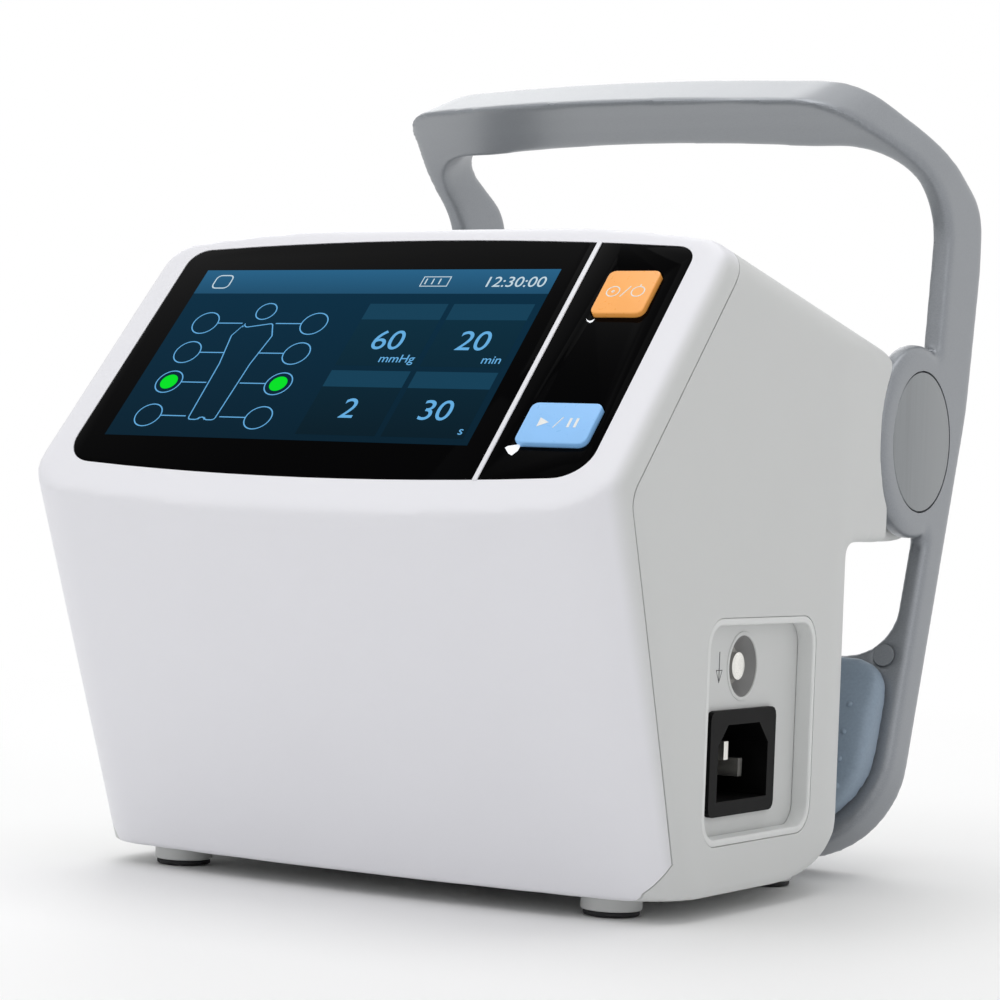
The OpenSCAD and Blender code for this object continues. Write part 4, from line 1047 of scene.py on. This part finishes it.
# ---- handle frame ----
class PUMP_OT_handle(bpy.types.Operator):
    """Models the handle frame with its rounded edges, the hub caps and the plugs"""

    bl_idname = "pump.handle"
    bl_label = "Handle frame"

    def execute(self, context):
        tones = colours()
        paint = silver_paint("silver_paint", tones.silver)
        ring_piece = cad_copy("handle_frame", "carry_frame")
        for side in (-1, 1):
            plug = cylinder("plug", 18, FRAME_HALF_W - ARM_T, FRAME_HALF_W, at_pivot(side))
            combine(ring_piece, plug, "UNION")
        even_mesh(ring_piece, sizes().frame_voxel / MM * 0.65)
        soften(ring_piece, 30)
        even_mesh(ring_piece, sizes().frame_voxel / MM)
        soften(ring_piece, 10)
        for side in (-1, 1):
            for radius, depth in ((CAP_SEAT_R, 1.5), (PIVOT_BORE_R, 10), (PIVOT_RECESS_R, 2.9)):
                cut = cylinder("cut", radius, FRAME_HALF_W - depth, FRAME_HALF_W + 3, at_pivot(side))
                combine(ring_piece, cut)
        dress(shade(ring_piece, 30), paint, "handle_frame", body="handle")
        streak = brushed("brushed_cap", tones.cap, (60, 700, 25))
        for side, node in ((-1, "hub_cap_left"), (1, "hub_cap_right")):
            name = node.replace("hub", "pivot")
            cap = cylinder(name, CAP_R, FRAME_HALF_W - CAP_T, FRAME_HALF_W, at_pivot(side), 128)
            edge_bevel(cap, 0.3)
            dress(shade(cap), streak, node, body="handle")
        finish_node("frame_plugs", paint)
        return {"FINISHED"}


class PUMP_OT_pad(bpy.types.Operator):
    """Models the soft clamp pad with its rows of dots"""

    bl_idname = "pump.pad"
    bl_label = "Clamp pad"

    def execute(self, context):
        pad = cad_copy("clamp_pad", "clamp_cushion")
        even_mesh(pad, 1.2)
        soften(pad, 12)
        pad = joined("clamp_cushion", [pad] + self.dots(pad))
        soft = rubber("pad_rubber", colours().pad, 0.5)
        dress(shade(pad, 60), soft, "clamp_pad", body="handle")
        return {"FINISHED"}

    def dots(self, pad):
        """Small domes set on the pad's face, found by casting a ray back onto it."""
        made, radius = [], sizes().dot
        low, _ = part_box("clamp_pad")
        for column in range(-7, 8):
            for row in range(5):
                start = Vector((column * DOT_PITCH_X, low[1] - 0.01, DOT_LOW + row * DOT_PITCH_Z))
                hit, place, normal, _ = pad.ray_cast(start, Vector((0, 1, 0)))
                if not hit:
                    continue
                bpy.ops.mesh.primitive_uv_sphere_add(segments=12, ring_count=8, radius=radius)
                made.append(settle(named("dot"), at(*(place - normal * radius * DOT_SUNK))))
        return made


class PUMP_OT_feet(bpy.types.Operator):
    """Models the four rubber feet"""

    bl_idname = "pump.feet"
    bl_label = "Feet"

    def execute(self, context):
        black = rubber("foot_rubber", (0.012, 0.012, 0.014, 1), 0.75)
        for node in FEET:
            low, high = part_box(node)
            place = at(*middle(node)[:2], 0)
            radius = (high[0] - low[0]) / 2 / MM
            foot = cylinder(node.replace("foot", "rubber_foot"), radius, 0, FOOT_T, place)
            edge_bevel(foot, 0.35)
            dress(shade(foot), black, node)
        return {"FINISHED"}


class PUMP_OT_mains_side(bpy.types.Operator):
    """Finishes the mains inlet, its blades, the earth stud and its sign"""

    bl_idname = "pump.mains_side"
    bl_label = "Mains side"

    def execute(self, context):
        finish_node("mains_inlet", gloss("inlet_plastic", (0.002, 0.002, 0.0022, 1), 0.5, mirror=0.08))
        bright = brushed("plated_metal", (0.8, 0.79, 0.75, 1), (400, 400, 400), 0.22)
        finish_node("inlet_pins", bright)
        stud = cad_copy("earth_stud", "bonding_stud")
        edge_bevel(stud, 0.5)
        dress(shade(stud), bright, "earth_stud")
        # The common bonding sign: a small triangle on a line
        x, y, z = RECESS_X + 0.02, INLET_Y - 11.2, STUD_Z
        lines = [[(y, z + 3.4), (y, z - 3.2)], [(y - 1.4, z - 0.6), (y + 1.4, z - 0.6), (y, z - 3.2)]]
        ink = moulded("sign_ink", (0.05, 0.05, 0.055, 1), 0.5)
        dress(flat_art("bonding_sign", lines, 0.35, at_right(x, 0, 0), closed=(1,)), ink)
        return {"FINISHED"}


class PUMP_OT_air_sockets(bpy.types.Operator):
    """Models the two air sockets on the left side"""

    bl_idname = "pump.air_sockets"
    bl_label = "Air sockets"

    def execute(self, context):
        dark = moulded("socket_plastic", (0.035, 0.036, 0.04, 1), 0.42)
        for node in AIR_SOCKETS:
            socket = cad_copy(node, node.replace("outlet", "socket"))
            edge_bevel(socket, 0.35)
            dress(shade(socket), dark, node)
        return {"FINISHED"}


class PUMP_OT_inner_parts(bpy.types.Operator):
    """Finishes the parts inside the housing"""

    bl_idname = "pump.inner_parts"
    bl_label = "Inner parts"

    def execute(self, context):
        steel = brushed("plain_steel", (0.55, 0.55, 0.56, 1), (500, 500, 500))
        dark = moulded("dark_plastic", (0.03, 0.03, 0.033, 1), 0.5)
        green = board("solder_mask", (0.01, 0.14, 0.06, 1))
        tube = gloss("clear_tube", (0.55, 0.6, 0.64, 1), 0.25)
        bronze = brushed("sintered_bronze", (0.5, 0.34, 0.16, 1), (400, 400, 400), 0.45)
        sides = ("left", "right")
        turning = [f"pivot_{part}_{side}" for part in ("pin", "collar", "spring") for side in sides]
        finishes = {
            steel: ["housing_screws", "display_bracket", "earth_nut"] + turning,
            dark: ("display_module", "speaker", "pump_cradle"),
            green: ("key_board", "main_board", "power_supply"),
            tube: ("pump_hose", "outlet_hoses"),
            gloss("battery_wrap", (0.03, 0.1, 0.4, 1), 0.3): ("battery_pack",),
            brushed("cast_alloy", (0.45, 0.46, 0.48, 1), (300, 300, 300), 0.5): ("air_pump",),
            moulded("natural_nylon", (0.6, 0.6, 0.55, 1), 0.5): ("valve_block",),
            bronze: ("pivot_bush_left", "pivot_bush_right"),
        }
        for material, nodes in finishes.items():
            for node in nodes:
                finish_node(node, material)
        return {"FINISHED"}


# ---- stage ----
CAMERA_PLACE = (0.3683, -0.6217, 0.0889)
CAMERA_TURN, CAMERA_PITCH, CAMERA_ROLL = 31.11, 0.18, 2.28
CAMERA_LENS = 109.94
# How strong the room's light is: from below to above, and from the left to the right
ROOM_RISE = (-0.3, 0.1, 0.25, 0.95)
ROOM_ACROSS = (-1, 1, 0.94, 0.47)
FLOOR_R = 4
FLOOR_FADE = (0.2, 0.7)
WHITE = (1, 1, 1, 1)
LAMPS = (
    ("key_lamp", (-0.3, -0.9, 1.3), 0.9, 2.2),
    ("side_lamp", (1.2, -0.3, 0.8), 0.9, 1.6),
    ("top_lamp", (0.0, 0.2, 1.4), 1.0, 5.6),
    ("rim_lamp", (-0.75, 1.0, 0.75), 0.7, 1.9),
)


class PUMP_OT_stage(bpy.types.Operator):
    """Sets the pale floor, the soft lamps, the white surround and the camera"""

    bl_idname = "pump.stage"
    bl_label = "Stage"

    def execute(self, context):
        self.floor()
        self.world()
        for lamp in LAMPS:
            self.lamp(*lamp)
        self.camera()
        bpy.context.scene.view_settings.view_transform = "Standard"
        return {"FINISHED"}

    def floor(self):
        below = (0, 0, -0.0002)
        bpy.ops.mesh.primitive_circle_add(vertices=96, radius=FLOOR_R, fill_type="NGON", location=below)
        floor = settle(named("floor"))
        shop = Shop("pale_floor")
        shop.finish(Base_Color=(0.9, 0.9, 0.9, 1), Roughness=0.6)
        away = shop.add("VectorMath", {0: shop.place}, 1, operation="LENGTH")
        seen = shop.pale_rays() * shop.ramp(away, *FLOOR_FADE)
        shop.blend(seen, Value(shop, shop.shader.outputs[0]), shop.add("Emission", {}))
        floor.data.materials.append(shop.material)

    def world(self):
        """Light for the object that fades downwards and to the right, and a white that is only seen."""
        bpy.context.scene.world = bpy.data.worlds.new("studio")
        room = Nodes(bpy.context.scene.world, "Generated", "World Output")
        level = room.ramp(room.axis(2), *ROOM_RISE) * room.ramp(room.axis(0), *ROOM_ACROSS)
        light = room.add("Background", {"Color": WHITE, "Strength": level})
        room.blend(room.pale_rays(), light, room.add("Background", {"Color": WHITE}))

    def lamp(self, name, place, size, power):
        bpy.ops.object.light_add(type="AREA", location=place)
        lamp = named(name)
        lamp.data.size = size
        lamp.data.energy = power
        aim = Vector((0, 0, 0.09)) - Vector(place)
        lamp.rotation_euler = aim.to_track_quat("-Z", "Y").to_euler()

    def camera(self):
        bpy.ops.object.camera_add(location=CAMERA_PLACE)
        camera = named("camera")
        turns = (CAMERA_TURN, "Z"), (90 - CAMERA_PITCH, "X"), (CAMERA_ROLL, "Z")
        turn, pitch, roll = (Matrix.Rotation(math.radians(angle), 3, axis) for angle, axis in turns)
        camera.rotation_euler = (turn @ pitch @ roll).to_euler()
        camera.data.lens = CAMERA_LENS
        camera.data.sensor_width = 36
        camera.data.clip_start = 0.01
        bpy.context.scene.camera = camera


class PUMP_PT_panel(bpy.types.Panel):
    """Lists the pump's operators and values"""

    bl_label = "Compression Therapy Pump"
    bl_idname = "PUMP_PT_panel"
    bl_space_type = "VIEW_3D"
    bl_region_type = "UI"
    bl_category = "Pump"

    def draw(self, context):
        for operator in OPERATORS:
            self.layout.operator(operator.bl_idname)
        for group in (context.scene.pump_sizes, context.scene.pump_colours):
            for key in group.__annotations__:
                self.layout.prop(group, key)


OPERATORS = (
    PUMP_OT_housing,
    PUMP_OT_panel,
    PUMP_OT_picture,
    PUMP_OT_keys,
    PUMP_OT_lights,
    PUMP_OT_handle,
    PUMP_OT_pad,
    PUMP_OT_feet,
    PUMP_OT_mains_side,
    PUMP_OT_air_sockets,
    PUMP_OT_inner_parts,
    PUMP_OT_stage,
)
CLASSES = (PumpColours, PumpSizes, *OPERATORS, PUMP_PT_panel)


def register():
    for item in CLASSES:
        bpy.utils.register_class(item)
    bpy.types.Scene.pump_colours = bpy.props.PointerProperty(type=PumpColours)
    bpy.types.Scene.pump_sizes = bpy.props.PointerProperty(type=PumpSizes)


def unregister():
    del bpy.types.Scene.pump_sizes
    del bpy.types.Scene.pump_colours
    for item in reversed(CLASSES):
        bpy.utils.unregister_class(item)


def main():
    register()
    for operator in OPERATORS:
        group, name = operator.bl_idname.split(".")
        getattr(getattr(bpy.ops, group), name)()


if __name__ == "__main__":
    main()
